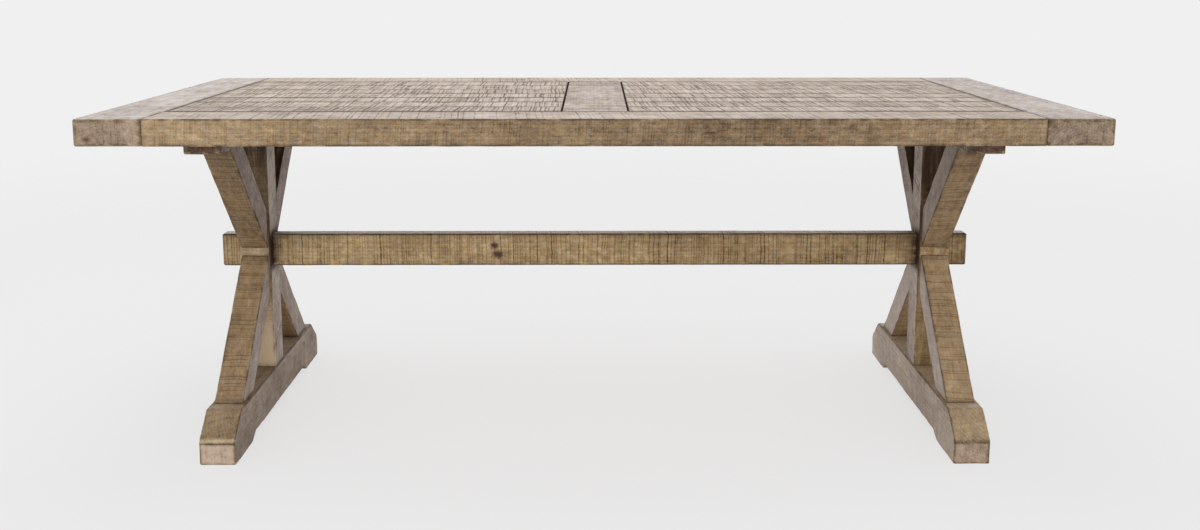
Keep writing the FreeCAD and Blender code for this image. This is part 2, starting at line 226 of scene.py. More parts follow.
@dataclass
class Board:
    """A sawn board or beam, as one closed surface with worn arrises.

    The board has its own coordinates from its origin: s along, p across and q up. The surface is a
    rounded rectangle in p and q, carried along s between two end planes, which may lean. The radii
    of its arrises waver with s, and each face is planed a little hollow, never proud. Both ends
    round over and close to a middle point. Low and high are the heights of the section's bottom and
    top at the named places along the board. Face painted shades darken the whole low and high faces
    where shade falls, and arris lines darken along the arrises. Its stains are dark patches of
    gathered stain or of painted shade. Pairs called waves are the shortest and the longest one.
    """

    node: str
    origin: Array
    axes: Array
    length: float
    half_width: float
    low: Array
    high: Array
    places: Array
    start_lean: float = 0.0
    end_lean: float = 0.0
    tone: float = 0.0
    # Stains: dark patches of gathered stain and of painted shade; shades: tone patches, some painted shade or
    # highlight
    stains: Tuple[Patch, ...] = ()
    shades: Tuple[Patch, ...] = ()
    face_stains: Pair = (0.0, 0.0)
    arris_stains: Tuple[float, ...] = (0.0, 0.0, 0.0, 0.0)
    # The arrises: their radius, how much it wavers, and nicks where a second waver passes a level
    arris: float = 1.6 * MM
    play: float = 0.25
    waver_waves: Pair = (9 * MM, 160 * MM)
    nick_waves: Pair = (14 * MM, 60 * MM)
    nick_level: float = 0.75
    nick_depth: float = 1.5
    radius_shares: Pair = (0.5, 2.2)
    # The faces: how hollow they are, in waves along, across and up
    hollow: float = 0.30 * MM
    shortest_hollow: Point = (60 * MM, 45 * MM, 45 * MM)
    longest_hollow: Point = (420 * MM, 200 * MM, 200 * MM)
    # The ends: their rounding, and the rings of points between their edge and their middle
    end_round: float = 2.0 * MM
    end_insets: Pair = (2.5 * MM, 7.0 * MM)
    end_inset_shares: Pair = (0.45, 0.75)
    # The corners of the section's low and high edges: how far before and after them they are eased
    corner_run: float = 2.0 * MM
    corner_reach: float = 1.5
    # How the points are spaced: evenly, but closer beside ends, arrises and corners
    row_step: float = 7.0 * MM
    side_step: float = 13.0 * MM
    close_rows: Pair = (1.5 * MM, 3.5 * MM)
    close_points: Pair = (2.0 * MM, 5.0 * MM)
    least_gap: float = 0.2 * MM
    least_rows: int = 4
    least_side_steps: int = 2
    end_rows: int = 4
    corner_rows: int = 5
    arc_steps: int = 4
    # How far the mark of an arris spreads
    edge_reach: float = 2.2 * MM
    # Where in its log the board was cut, in metres, and how its grain leans
    log_reach: float = 3.0
    log_shares: Point = (1.0, 0.02, 0.02)
    slant: float = 0.05

    @classmethod
    def between(cls, node: str, low: Array, high: Array, way: Way, **more: Any) -> "Board":
        """A straight board that fills the box between two opposite corners.

        Args:
            node: the CAD node that the board stands for.
            low: the box's lowest corner.
            high: its highest corner.
            way: which way the board runs.
            more: any other of the board's fields.

        Returns:
            The board.
        """
        axes = np.array(way.value)
        size = np.abs(axes @ (high - low))
        half = size[2] / 2
        return cls(node, (low + high) / 2 - axes[0] * size[0] / 2, axes, float(size[0]), float(size[1] / 2),
                   np.full(2, -half), np.full(2, half), np.array([0.0, size[0]]), **more)

    @property
    def name(self) -> str:
        """The piece's name."""
        return self.node + "_wood"

    def rows(self) -> Array:
        """Where the sections stand along the board: close together at a rounded end and at each corner.

        Formula: from an end the rounding times (1 - cos a), for even steps of a up to a quarter turn,
        then two close rows; even steps between the ends; even close steps past each corner.

        Returns:
            The places along the board, in order.
        """
        turn = self.end_round * (1 - np.cos(np.linspace(0, math.pi / 2, self.end_rows)))
        turn = np.append(turn, self.end_round + np.array(self.close_rows))
        count = max(self.least_rows, int(round((self.length - 2 * turn[-1]) / self.row_step)))
        middle = np.linspace(turn[-1], self.length - turn[-1], count + 1)
        spread = self.corner_run * np.linspace(-self.corner_reach, self.corner_reach, self.corner_rows)
        bends = (self.places[1:-1, None] + spread).ravel()
        bends = bends[(bends > self.end_round) & (bends < self.length - self.end_round)]
        rows = np.sort(np.concatenate([turn[:-1], middle, bends, (self.length - turn[:-1])[::-1]]))
        return rows[np.append(np.diff(rows) > self.least_gap, True)]

    def profile(self, heights: Array, s: Array) -> Array:
        """The section's low or high edge at each place, with its corners eased over a few millimetres.

        Formula: the mean of the broken line through the named places, taken a little before, at and
        after s.

        Args:
            heights: the edge's height at each named place.
            s: the places along the board.

        Returns:
            The edge's height at each s.
        """
        steps = (-self.corner_run, 0.0, self.corner_run)
        return sum(np.interp(s + step, self.places, heights) for step in steps) / len(steps)

    def side_shares(self, width: float) -> Array:
        """Where the points of a flat side stand: two close to each arris, the rest in even steps.

        Args:
            width: the side's width.

        Returns:
            The places, as shares of the width.
        """
        close = np.array(self.close_points) / width
        count = max(self.least_side_steps, int(round(width / self.side_step)))
        even = np.linspace(close[-1], 1 - close[-1], count + 1)[1:-1]
        return np.concatenate([close, even, 1 - close[::-1]])

    def section(self, s: Array) -> Tuple[Array, Array, Array]:
        """The rounded rectangle at every place along the board.

        Formula: at each arris a quarter circle, centre plus radius times (cos a, sin a); between two
        arrises a straight line. The whole shrinks at an end by e - sqrt(e^2 - (e - d)^2), where d is
        the distance from the end and e the rounding.

        Args:
            s: the places along the board.

        Returns:
            The points (rows, ring, 2), their outward directions (ring, 2) and how near an arris or an
            end each is (rows, ring).
        """
        rng = seeded(self.name + " arris")
        near_end = np.clip(np.minimum(s, self.length - s), 0, self.end_round)
        squared = self.end_round ** 2 - (self.end_round - near_end) ** 2
        shrink = self.end_round - np.sqrt(np.maximum(squared, 0))
        edges_p = {1: self.half_width - shrink, -1: shrink - self.half_width}
        edges_q = {1: self.profile(self.high, s) - shrink, -1: self.profile(self.low, s) + shrink}
        centres: List[Array] = []
        radii: List[Array] = []
        for p, q in ARRISES:
            waver = ripple(rng, self.waver_waves[:1], self.waver_waves[1:], s)
            nick = np.maximum(ripple(rng, self.nick_waves[:1], self.nick_waves[1:], s) - self.nick_level, 0)
            worn = 1 + self.play * waver + self.nick_depth * nick
            radius = self.arris * np.clip(worn, *self.radius_shares)
            centres.append(np.stack([edges_p[p] - p * radius, edges_q[q] - q * radius], 1))
            radii.append(radius)
        arc = np.linspace(0, math.pi / 2, self.arc_steps + 1)
        widths = (2 * self.half_width, float(np.max(self.high - self.low)))
        points: List[Array] = []
        outward: List[Array] = []
        nearness: List[Array] = []
        for number in range(len(ARRISES)):
            after = (number + 1) % len(ARRISES)
            width = widths[number % 2]
            angles = number * math.pi / 2 + arc
            turn = np.stack([np.cos(angles), np.sin(angles)], 1)
            shares = self.side_shares(width)
            first = centres[number] + radii[number][:, None] * turn[-1]
            last = centres[after] + radii[after][:, None] * turn[-1]
            points += [centres[number][:, None] + radii[number][:, None, None] * turn[None],
                       first[:, None] + shares[None, :, None] * (last - first)[:, None]]
            outward += [turn, np.repeat(turn[-1:], len(shares), 0)]
            nearness += [np.ones(len(arc)), np.exp(-np.minimum(shares, 1 - shares) * width / self.edge_reach)]
        bends = np.concatenate([self.places[1:-1], [0.0, self.length]])
        along = np.exp(-np.min(np.abs(s[:, None] - bends), 1) / self.edge_reach)
        near = np.maximum(np.concatenate(nearness)[None], along[:, None])
        return np.concatenate(points, 1), np.concatenate(outward), near

    def lift(self, s: Array, ring: Array) -> Array:
        """Turns sections into points of the board, so that s slides between the two leaning end planes.

        Formula: with t = s / length, s' = (1 - t) start_lean q + t (length + end_lean q).

        Args:
            s: the places along the board.
            ring: the section at each place (rows, ring, 2).

        Returns:
            The points (rows, ring, 3).
        """
        q = ring[:, :, 1]
        share = (s / self.length)[:, None]
        slid = (1 - share) * self.start_lean * q + share * (self.length + self.end_lean * q)
        return np.stack([slid, ring[:, :, 0], q], 2)

    def held_shade_and_lines(self, ring: Array, outward: Array) -> Array:
        """The shade painted on whole faces, and the dark lines along whole arrises.

        Formula: on an arris strength times e to the minus (distance / edge reach) squared.

        Args:
            ring: one section's points (ring, 2).
            outward: their outward directions (ring, 2).

        Returns:
            One strength for each of the section's points.
        """
        held = self.face_stains[0] * (outward[:, 1] < -SQUARE_ON)
        held = held + self.face_stains[1] * (outward[:, 1] > SQUARE_ON)
        tall = (self.high.max() - self.low.min()) / 2
        ring = ring - (0.0, (self.high.max() + self.low.min()) / 2)
        for signs, strength in zip(ARRISES, self.arris_stains):
            arris = np.array(signs) * (self.half_width - self.arris / 2, tall - self.arris / 2)
            away = np.linalg.norm(ring - arris, axis=1)
            held = np.maximum(held, strength * np.exp(-(away / self.edge_reach) ** 2))
        return held

    def surface(self) -> Tuple[Array, List[Array], Array, Array, Array]:
        """The board's points in its own coordinates, its faces, and each point's marks.

        Formula: each section is drawn in by the hollow times a waviness from nought to one. Each end
        is closed by rings that shrink to the mean of its edge, and by a fan round that point.

        Returns:
            The points, the faces, how near an arris each point is, whether it is on an end, and how
            dark the shade painted on its whole face, or the line along its arris, makes it.
        """
        s = self.rows()
        ring, outward, nearness = self.section(s)
        waves = ripple(seeded(self.name + " face"), self.shortest_hollow, self.longest_hollow,
                       s[:, None], ring[:, :, 0], ring[:, :, 1])
        ring = ring - self.hollow * np.clip(0.5 + 0.5 * waves, 0, 1)[:, :, None] * outward[None]
        body = self.lift(s, ring)
        rows, around = body.shape[:2]
        total = rows * around
        index = np.arange(total).reshape(rows, around)
        points = [body.reshape(-1, 3)]
        faces = [self.quads(index[:-1], index[1:], False)]
        near = [nearness.ravel()]
        reach = min(self.half_width, float(np.min(self.high - self.low)) / 2)
        insets = np.sort([*(inset / reach for inset in self.end_insets), *self.end_inset_shares])
        count = len(insets) * around
        for row, flip in ((0, True), (rows - 1, False)):
            middle = body[row].mean(0)
            rings = middle + (1 - insets)[:, None, None] * (body[row] - middle)
            inward = np.concatenate([index[row:row + 1], total + np.arange(count).reshape(-1, around)])
            fan = np.stack([inward[-1], np.roll(inward[-1], -1), np.full(around, total + count)], 1)
            faces += [self.quads(inward[:-1], inward[1:], flip), fan[:, ::-1] if flip else fan]
            points += [rings.reshape(-1, 3), middle[None]]
            near += [np.repeat(np.exp(-insets * reach / self.edge_reach), around), np.zeros(1)]
            total += count + 1
        on_end = (np.arange(total) >= index.size).astype(float)
        held = np.zeros(total)
        held[:index.size] = np.tile(self.held_shade_and_lines(ring[rows // 2], outward), rows)
        return np.concatenate(points), faces, np.concatenate(near), on_end, held

    @staticmethod
    def quads(lower: Array, upper: Array, flip: bool) -> Array:
        """The faces between neighbouring rings, closed round the board.

        Args:
            lower: the point numbers of each ring.
            upper: those of the ring after it.
            flip: whether the faces look back along the board.

        Returns:
            Four point numbers for each face.
        """
        around = [lower, np.roll(lower, -1, 1), np.roll(upper, -1, 1), upper]
        faces = np.stack(around, 2).reshape(-1, 4)
        return faces[:, ::-1] if flip else faces

    def build(self, finish: bpy.types.Material, slot: str) -> None:
        """Makes the board's mesh with its grain and marks, and puts it in its node's place.

        Formula: a point is the origin plus s, p and q times the directions along, across and up.

        Args:
            finish: the material.
            slot: the name of the record's material slot; not used.
        """
        own, faces, near, on_end, stain = self.surface()
        placed = self.origin + own @ self.axes
        mesh = bpy.data.meshes.new(self.name)
        mesh.from_pydata(placed.tolist(), [], [face for part in faces for face in part.tolist()])
        mesh.polygons.foreach_set("use_smooth", np.ones(len(mesh.polygons), bool))
        rng = seeded(self.name + " log")
        log = own + rng.uniform(-self.log_reach, self.log_reach, 3) * self.log_shares
        log[:, 0] += own[:, 1:] @ rng.normal(0, self.slant, 2)
        # The stain mark holds both gathered stain and painted shade
        for patch in self.stains:
            stain = np.maximum(stain, patch.at(placed))
        tone = self.tone + sum((patch.at(placed) for patch in self.shades), np.zeros(len(own)))
        marks = np.stack([near, stain, tone], 1)
        for word, kind, key, values in (("grain", "FLOAT_VECTOR", "vector", log),
                                        ("marks", "FLOAT_VECTOR", "vector", marks),
                                        ("sawn_end", "FLOAT", "value", on_end)):
            attribute = mesh.attributes.new(word, kind, "POINT")
            attribute.data.foreach_set(key, values.astype(np.float32).ravel())
        mesh.materials.append(finish)
        mesh.update()
        piece = link(self.name, mesh)
        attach(piece, BODY)
        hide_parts(self.node)
        LOG.info("%s: %d faces, stands for %s", self.name, len(mesh.polygons), self.node)


def add_node(tree: Tree, kind: str, inputs: Dict[Union[str, int], Any],
             **settings: Any) -> bpy.types.NodeOutputs:
    """Adds one shader node with its settings, values and links.

    Args:
        tree: the node tree.
        kind: the node's type, without its leading ShaderNode.
        inputs: a value, or an output to link, for each named or numbered input.
        settings: the node's own properties.

    Returns:
        The node's outputs.
    """
    node = tree.nodes.new("ShaderNode" + kind)
    for key, value in settings.items():
        setattr(node, key, value)
    for socket, value in inputs.items():
        if isinstance(value, Socket):
            tree.links.new(value, node.inputs[socket])
        else:
            node.inputs[socket].default_value = value
    return node.outputs


def bare_tree(owner: Union[bpy.types.Material, bpy.types.World]) -> Tree:
    """Gives a material or a world an empty node tree.

    Args:
        owner: the material or the world.

    Returns:
        Its node tree.
    """
    owner.use_nodes = True
    owner.node_tree.nodes.clear()
    return owner.node_tree


@dataclass(frozen=True)
class Tones:
    """Five tones of one stain, from where it lies thickest to bare wood, as sRGB hex colours."""

    darkest: str
    low: str
    middle: str
    high: str
    lightest: str

    def over(self, tree: Tree, value: Socket) -> Socket:
        """Looks a value up in the tones.

        Args:
            tree: the node tree.
            value: nought for the darkest tone, a half for the middle one and one for the lightest.

        Returns:
            The colour.
        """
        colour = add_node(tree, "ValToRGB", {"Fac": value})["Color"]
        stops = colour.node.color_ramp.elements
        stops[0].color, stops[1].color = srgb(self.darkest), srgb(self.lightest)
        for place, code in ((0.25, self.low), (0.50, self.middle), (0.75, self.high)):
            stops.new(place).color = srgb(code)
        return colour


STAINED = Tones("443119", "725A38", "8F7650", "AA9169", "CAB188")
# Tones of the grey wash on tops and sides: partly a wash and partly painted sheen, the grazing reflection of
# a white room
WASH_AND_SHEEN_TOP = Tones("5C4B41", "94847A", "BCADA2", "D2C5B9", "E9E0D8")
WIPED_WASH_AND_SHEEN_TOP = Tones("6A5B53", "ADA19C", "CCC2BE", "DBD4D1", "EAE5E3")
COOLED_WASH_AND_SHEEN_TOP = Tones("5C4B43", "94867E", "B9ACA5", "CDC2BB", "E4DDD9")
# The stretcher's near-white top: partly a wash and partly painted light, where little light reaches under the
# top
WASH_AND_PAINTED_LIGHT_TOP = Tones("8A807A", "D2CCC8", "F0ECE9", "F7F5F3", "FCFBFA")
WASH_AND_SHEEN_SIDE = Tones("50413D", "80736F", "A89B98", "C0B6B3", "D8D1CF")
END_GRAIN = Tones("4A3829", "75604B", "937D64", "AC957A", "CDB89C")
RED_END_GRAIN = Tones("33201A", "573B28", "71503A", "8A684C", "A58463")
PALE_END_GRAIN = Tones("6A5646", "9C8671", "C2AA93", "D4BFA8", "E6D5C0")
BARE = Tones("7A5F3C", "A5865A", "BC9D70", "CBAF84", "DCC49C")


@dataclass(frozen=True)
class Knot:
    """A knot at a place of its own, in the frame's coordinates.

    The stretch is how much longer it is than wide along x, y and z, and the depth is how dark it is.
    """

    place: Point
    radius: float
    stretch: Point = (1.0, 1.0, 1.0)
    depth: float = 0.8


@dataclass(frozen=True)
class Marks:
    """What a board tells its material, as sockets of the material's node tree.

    Grain is the board's own coordinates, along, across and up. Near is one on an arris, stain is how
    dark the gathered stain and the painted shade are, tone how much lighter than a half the wood is,
    and end one on a sawn end. Upward and sideways are how far the surface looks up, and how far along
    the table; they place the grey wash and its painted sheen.
    """

    tree: Tree
    grain: Socket
    near: Socket
    stain: Socket
    tone: Socket
    end: Socket
    upward: Socket
    sideways: Socket

    @classmethod
    def read(cls, tree: Tree) -> "Marks":
        """Adds the nodes that read the board's attributes and the way that its surface looks.

        Args:
            tree: the material's node tree.

        Returns:
            The marks.
        """
        grain = add_node(tree, "Attribute", {}, attribute_name="grain")["Vector"]
        marks = add_node(tree, "Attribute", {}, attribute_name="marks")["Vector"]
        near, stain, tone = add_node(tree, "SeparateXYZ", {"Vector": marks})
        end = add_node(tree, "Attribute", {}, attribute_name="sawn_end")["Fac"]
        looks = add_node(tree, "SeparateXYZ", {"Vector": add_node(tree, "NewGeometry", {})["Normal"]})
        upward = add_node(tree, "MapRange", {"Value": looks["Z"], "From Min": UPWARD_FROM,
                                             "From Max": UPWARD_FULL}, interpolation_type="SMOOTHSTEP")
        level = add_node(tree, "Math", {0: looks["X"]}, operation="ABSOLUTE")
        sideways = add_node(tree, "MapRange", {"Value": level["Value"], "From Min": SIDEWAYS_FROM,
                                               "From Max": SIDEWAYS_FULL}, interpolation_type="SMOOTHSTEP")
        return cls(tree, grain, near, stain, tone, end, upward["Result"], sideways["Result"])


@dataclass(frozen=True)
class Spots:
    """A pattern of spots that have a real size on the board.

    The size is their length along the board, their width and, if it differs, their height. Detail
    is how many finer octaves they have, and roughness how strong those are. Slanted spots lean as
    the kerfs do.
    """

    size: Tuple[float, ...]
    detail: float = 3.0
    roughness: float = 0.6
    slanted: bool = False


@dataclass(frozen=True)
class SawnPine:
    """Reclaimed pine, band-sawn and rubbed with a brown stain under a thin grey wash.

    The blade leaves fine ridges across every board, in which the stain stays dark. The grey and pale
    colour on the top, where it was wiped level, and on the boards' broad sides is partly a thin grey
    wash and partly painted sheen, the grazing reflection of a white room painted into the colour.
    Kerfs are the blade's marks, in a fine set and a coarse one. The pattern's shares say how far each
    of them moves the tone, where one is the way from the darkest tone to the lightest. A span says at
    what strength a pattern starts to show and at what strength it shows in full.
    """

    name: str
    knots: Tuple[Knot, ...] = ()
    # Colours: the stain in front; its grey wash, partly painted sheen, on tops and at the sides; the
    # stain on sawn ends; the tints of its spots; and what age leaves at knots, joints and arrises,
    # whose dark colour also paints shade
    stained: Tones = STAINED
    washed: Tones = WASH_AND_SHEEN_TOP
    side_wash_and_sheen: Tones = WASH_AND_SHEEN_SIDE
    ended: Tones = END_GRAIN
    ochre: str = "BC8438"
    slate: str = "8E8472"
    rust: str = "6A4A30"
    bark: str = "331C14"
    gap_and_shade: str = "28190E"
    packed: str = "46331F"
    wear: str = "C9B48C"
    # How strong the ochre and the slate spots are
    golden: float = 0.45
    cool: float = 0.35
    # How much of the grey wash and its painted sheen lies on tops, on sides, everywhere, and at least of each
    wash_up: float = 0.95
    wash_and_sheen_side: float = 0.85
    wash_all: float = 0.12
    wash_least: float = 0.55
    # The patterns' shares of the tone
    cloud: float = 0.75
    blotch: float = 0.95
    grit: float = 0.70
    fibre: float = 0.16
    sweep: float = 0.30
    ring: float = 0.14
    end_ring: float = 0.16
    kerf: float = 0.75
    # How much of a board the kerfs cover, which its middle tone makes up for
    kerf_cover: float = 0.15
    # The fine kerfs' depth, more on sides; the coarse kerfs', more on tops; the spacing of both, their
    # width, and how much of them is left where they skip
    kerf_even: float = 0.55
    kerf_side: float = 0.30
    kerf_deep: float = 0.60
    kerf_up: float = 0.0
    kerf_fine: float = 6.0 * MM
    kerf_coarse: float = 14.0 * MM
    kerf_width: float = 2.2 * MM
    kerf_least: float = 0.35
    # How unevenly they stand, the share of their width that is dark throughout, the random numbers of
    # the shallowest and the deepest, and how far they bow
    kerf_scatter: float = 0.85
    kerf_core_share: float = 0.1
    kerf_span: Pair = (0.10, 0.95)
    bow: float = 9.0 * MM
    # The kerfs' slant on the broad and the narrow faces, as an angle
    slant_broad: float = 0.05
    slant_narrow: float = 0.04
    # The growth rings: their spacing, where the pith runs beside the board, and how little they
    # change along it; knots bend them
    ring_pitch: float = 6.5 * MM
    pith: Pair = (0.05, -0.11)
    ring_stretch: float = 0.10
    ring_bend: float = 9.0
    # Where arrises turn from worn to packed with stain, and how strong each is
    arris_turn: float = 0.50
    dark_arris: float = 0.55
    light_arris: float = 0.45
    worn_span: Pair = (0.04, -0.12)
    packed_span: Pair = (-0.08, 0.08)
    # Knots: how many of their cells hold a wild one, and how large it and its cell are; a knot's
    # raggedness, edge and heart as shares of its radius; and its rust and its bark
    wild_knots: float = 0.12
    wild_knot: float = 8.0 * MM
    knot_cell: Point = (340 * MM, 110 * MM, 110 * MM)
    knot_scatter: float = 0.9
    ragged_share: float = 0.9
    wander_share: float = 1.5
    knot_edge_share: float = 2.3
    knot_heart_share: float = 0.9
    rust_span: Pair = (0.15, 0.75)
    rust_most: float = 0.75
    bark_span: Pair = (0.62, 0.98)
    bark_most: float = 0.85
    # The patterns. Real fibres are under a tenth of a millimetre wide and the surface's grit is under
    # a millimetre, so both are drawn wider, to show
    cloud_spots: Spots = Spots((198 * MM, 90 * MM))
    blotch_spots: Spots = Spots((22 * MM, 14 * MM), 4.0, 0.65)
    grit_spots: Spots = Spots((4 * MM, 3 * MM), 3.0, 0.7)
    sweep_spots: Spots = Spots((28 * MM, 900 * MM), 3.0, 0.65, slanted=True)
    fibre_spots: Spots = Spots((60 * MM, 1.5 * MM), 4.0)
    torn_spots: Spots = Spots((5 * MM, 2.5 * MM), 4.0, 0.7)
    ochre_spots: Spots = Spots((16 * MM, 9 * MM), 5.0, 0.65)
    slate_spots: Spots = Spots((24 * MM, 9 * MM), 5.0, 0.65)
    tint_span: Pair = (0.44, 0.64)
    wash_and_sheen_spots: Spots = Spots((54 * MM, 31.5 * MM), 5.0, 0.65)
    wash_and_sheen_span: Pair = (0.32, 0.60)
    bow_spots: Spots = Spots((120 * MM, 50 * MM))
    skip_spots: Tuple[Spots, ...] = (Spots((45 * MM, 36 * MM)), Spots((30 * MM, 8 * MM)))
    skip_span: Pair = (0.36, 0.58)
    upright_spots: Spots = Spots((1.0, 3.5 * MM, 200 * MM), 2.0)
    upright_span: Pair = (0.50, 0.74)
    upright_most: float = 0.6
    turn_spots: Spots = Spots((45 * MM, 20 * MM), 4.0, 0.7)
    run_spots: Spots = Spots((110 * MM, 12 * MM), 5.0, 0.7)
    run_span: Pair = (0.34, 0.54)
    run_strengths: Pair = (0.40, 1.15)
    # The relief: its whole depth, and the shares of it of fibres, torn fibres, kerfs and knots
    relief_depth: float = 0.45 * MM
    relief_shares: Tuple[float, ...] = (0.35, 0.9, -0.9, 0.8)
    roughness: float = 0.62
    roughness_play: Pair = (-0.12, 0.14)

    def material(self) -> bpy.types.Material:
        """Builds the material from the board's marks.

        Returns:
            The material.
        """
        material = bpy.data.materials.new(self.name)
        tree = bare_tree(material)
        marks = Marks.read(tree)
        kerfs = self.kerfs(marks)
        fibres = self.mottle(marks, self.fibre_spots)
        knots = self.all_knots(marks)
        colour = self.faces(marks, self.tones(marks, kerfs, fibres, knots))
        colour = self.aged(marks, colour, knots)
        # Dry wood under a thin stain is nearly matt, and a little glossier along its fibres
        least, most = (self.roughness + play for play in self.roughness_play)
        rough = add_node(tree, "MapRange", {"Value": fibres, "To Min": least, "To Max": most})["Result"]
        bump = self.relief(marks, kerfs, fibres, knots)
        shader = add_node(tree, "BsdfPrincipled", {"Base Color": colour, "Roughness": rough, "Normal": bump,
                                                   "IOR": 1.5, "Specular IOR Level": 0.35})
        add_node(tree, "OutputMaterial", {"Surface": shader["BSDF"]})
        return material

    def mottle(self, marks: Marks, spots: Spots) -> Socket:
        """Draws a pattern of spots.

        Args:
            marks: the board's marks.
            spots: what the spots are like.

        Returns:
            The pattern, about a half on average.
        """
        lean = (0.0, self.slant_narrow, self.slant_broad) if spots.slanted else (0.0, 0.0, 0.0)
        scale = (spots.size[0], spots.size[1], spots.size[-1])
        scaled = add_node(marks.tree, "Mapping", {"Vector": marks.grain, "Rotation": lean, "Scale": scale},
                          vector_type="TEXTURE")["Vector"]
        return add_node(marks.tree, "TexNoise", {"Vector": scaled, "Scale": 1.0, "Detail": spots.detail,
                                                 "Roughness": spots.roughness})["Fac"]

    def kerfs(self, marks: Marks) -> Socket:
        """The blade's marks: straight thin lines across the board, unevenly spaced and unevenly deep.

        Formula: a random point in every pitch along the board stands for a mark, and a place is in the
        mark by how near the point is. Each mark has a depth of its own. A coarse and a fine set are
        added, and two patterns of spots break them up. On a sawn end the lines run up it instead.

        Args:
            marks: the board's marks.

        Returns:
            One where stain stays in a mark, nought between the marks.
        """
        tree = marks.tree
        leant = add_node(tree, "Mapping", {"Vector": marks.grain,
                                           "Rotation": (0.0, self.slant_narrow, self.slant_broad)},
                         vector_type="TEXTURE")
        along = add_node(tree, "SeparateXYZ", {"Vector": leant["Vector"]})["X"]
        bent = add_node(tree, "Math", {0: self.mottle(marks, self.bow_spots), 1: self.bow, 2: along},
                        operation="MULTIPLY_ADD")["Value"]
        coarse = add_node(tree, "MapRange", {"Value": marks.upward, "To Min": self.kerf_deep,
                                             "To Max": self.kerf_deep + self.kerf_up})["Result"]
        fine = add_node(tree, "MapRange", {"Value": marks.sideways, "To Min": self.kerf_even,
                                           "To Max": self.kerf_even + self.kerf_side})["Result"]
        total: Union[float, Socket] = 0.0
        for pitch, share in ((self.kerf_coarse, coarse), (self.kerf_fine, fine)):
            near = add_node(tree, "TexVoronoi", {"W": bent, "Scale": 1 / pitch,
                                                 "Randomness": self.kerf_scatter}, voronoi_dimensions="1D")
            core = self.kerf_core_share * self.kerf_width / pitch
            line = add_node(tree, "MapRange", {"Value": near["Distance"], "From Min": self.kerf_width / pitch,
                                               "From Max": core})["Result"]
            pick = add_node(tree, "SeparateColor", {"Color": near["Color"]})["Red"]
            deep = add_node(tree, "MapRange", {"Value": pick, "From Min": self.kerf_span[0],
                                               "From Max": self.kerf_span[1]})["Result"]
            mark = add_node(tree, "Math", {0: line, 1: deep}, operation="MULTIPLY")["Value"]
            total = add_node(tree, "Math", {0: mark, 1: share, 2: total}, operation="MULTIPLY_ADD",
                             use_clamp=True)["Value"]
        upright = self.mottle(marks, self.upright_spots)
        lines = add_node(tree, "MapRange", {"Value": upright, "From Min": self.upright_span[0],
                                            "From Max": self.upright_span[1],
                                            "To Max": self.upright_most})["Result"]
        held = add_node(tree, "Mix", {MIX_FACTOR: marks.end, MIX_LOW: total, MIX_HIGH: lines},
                        data_type="FLOAT")[0]
        for spots in self.skip_spots:
            kept = add_node(tree, "MapRange", {"Value": self.mottle(marks, spots),
                                               "From Min": self.skip_span[0],
                                               "From Max": self.skip_span[1], "To Min": self.kerf_least})
            held = add_node(tree, "Math", {0: held, 1: kept["Result"]}, operation="MULTIPLY")["Value"]
        return held

    def rings(self, marks: Marks, knots: Socket) -> Socket:
        """The growth rings, round a pith that runs beside the board, bent a little round the knots.

        Args:
            marks: the board's marks.
            knots: how far inside a knot each place is.

        Returns:
            Nought to one across each ring.
        """
        moved = add_node(marks.tree, "Mapping", {"Vector": marks.grain, "Location": (0.0, *self.pith),
                                                 "Scale": (self.ring_stretch, 1.0, 1.0)})
        bend = add_node(marks.tree, "Math", {0: knots, 1: self.ring_bend}, operation="MULTIPLY")
        # The wave node's rings are 2 pi / 20 apart at a scale of one
        scale = 2 * math.pi / 20 / self.ring_pitch
        return add_node(marks.tree, "TexWave", {"Vector": moved["Vector"], "Scale": scale, "Distortion": 3.0,
                                                "Detail": 3.0, "Detail Scale": 0.4, "Detail Roughness": 0.6,
                                                "Phase Offset": bend["Value"]},
                        wave_type="RINGS", rings_direction="X", wave_profile="SAW")["Fac"]

    def ball(self, tree: Tree, away: Socket, radius: float) -> Socket:
        """How far inside a ragged knot a place is.

        Args:
            tree: the material's node tree.
            away: the vector from the knot's middle, in metres.
            radius: the knot's radius, in metres.

        Returns:
            One at its heart, nought past about twice its radius.
        """
        ragged = add_node(tree, "TexNoise", {"Vector": away, "Scale": self.ragged_share / radius,
                                             "Detail": 3.0, "Roughness": 0.65})["Fac"]
        length = add_node(tree, "VectorMath", {0: away}, operation="LENGTH")["Value"]
        uneven = add_node(tree, "Math", {0: ragged, 1: self.wander_share * radius, 2: length},
                          operation="MULTIPLY_ADD")["Value"]
        return add_node(tree, "MapRange", {"Value": uneven, "From Min": self.knot_edge_share * radius,
                                           "From Max": self.knot_heart_share * radius},
                        interpolation_type="SMOOTHSTEP")["Result"]

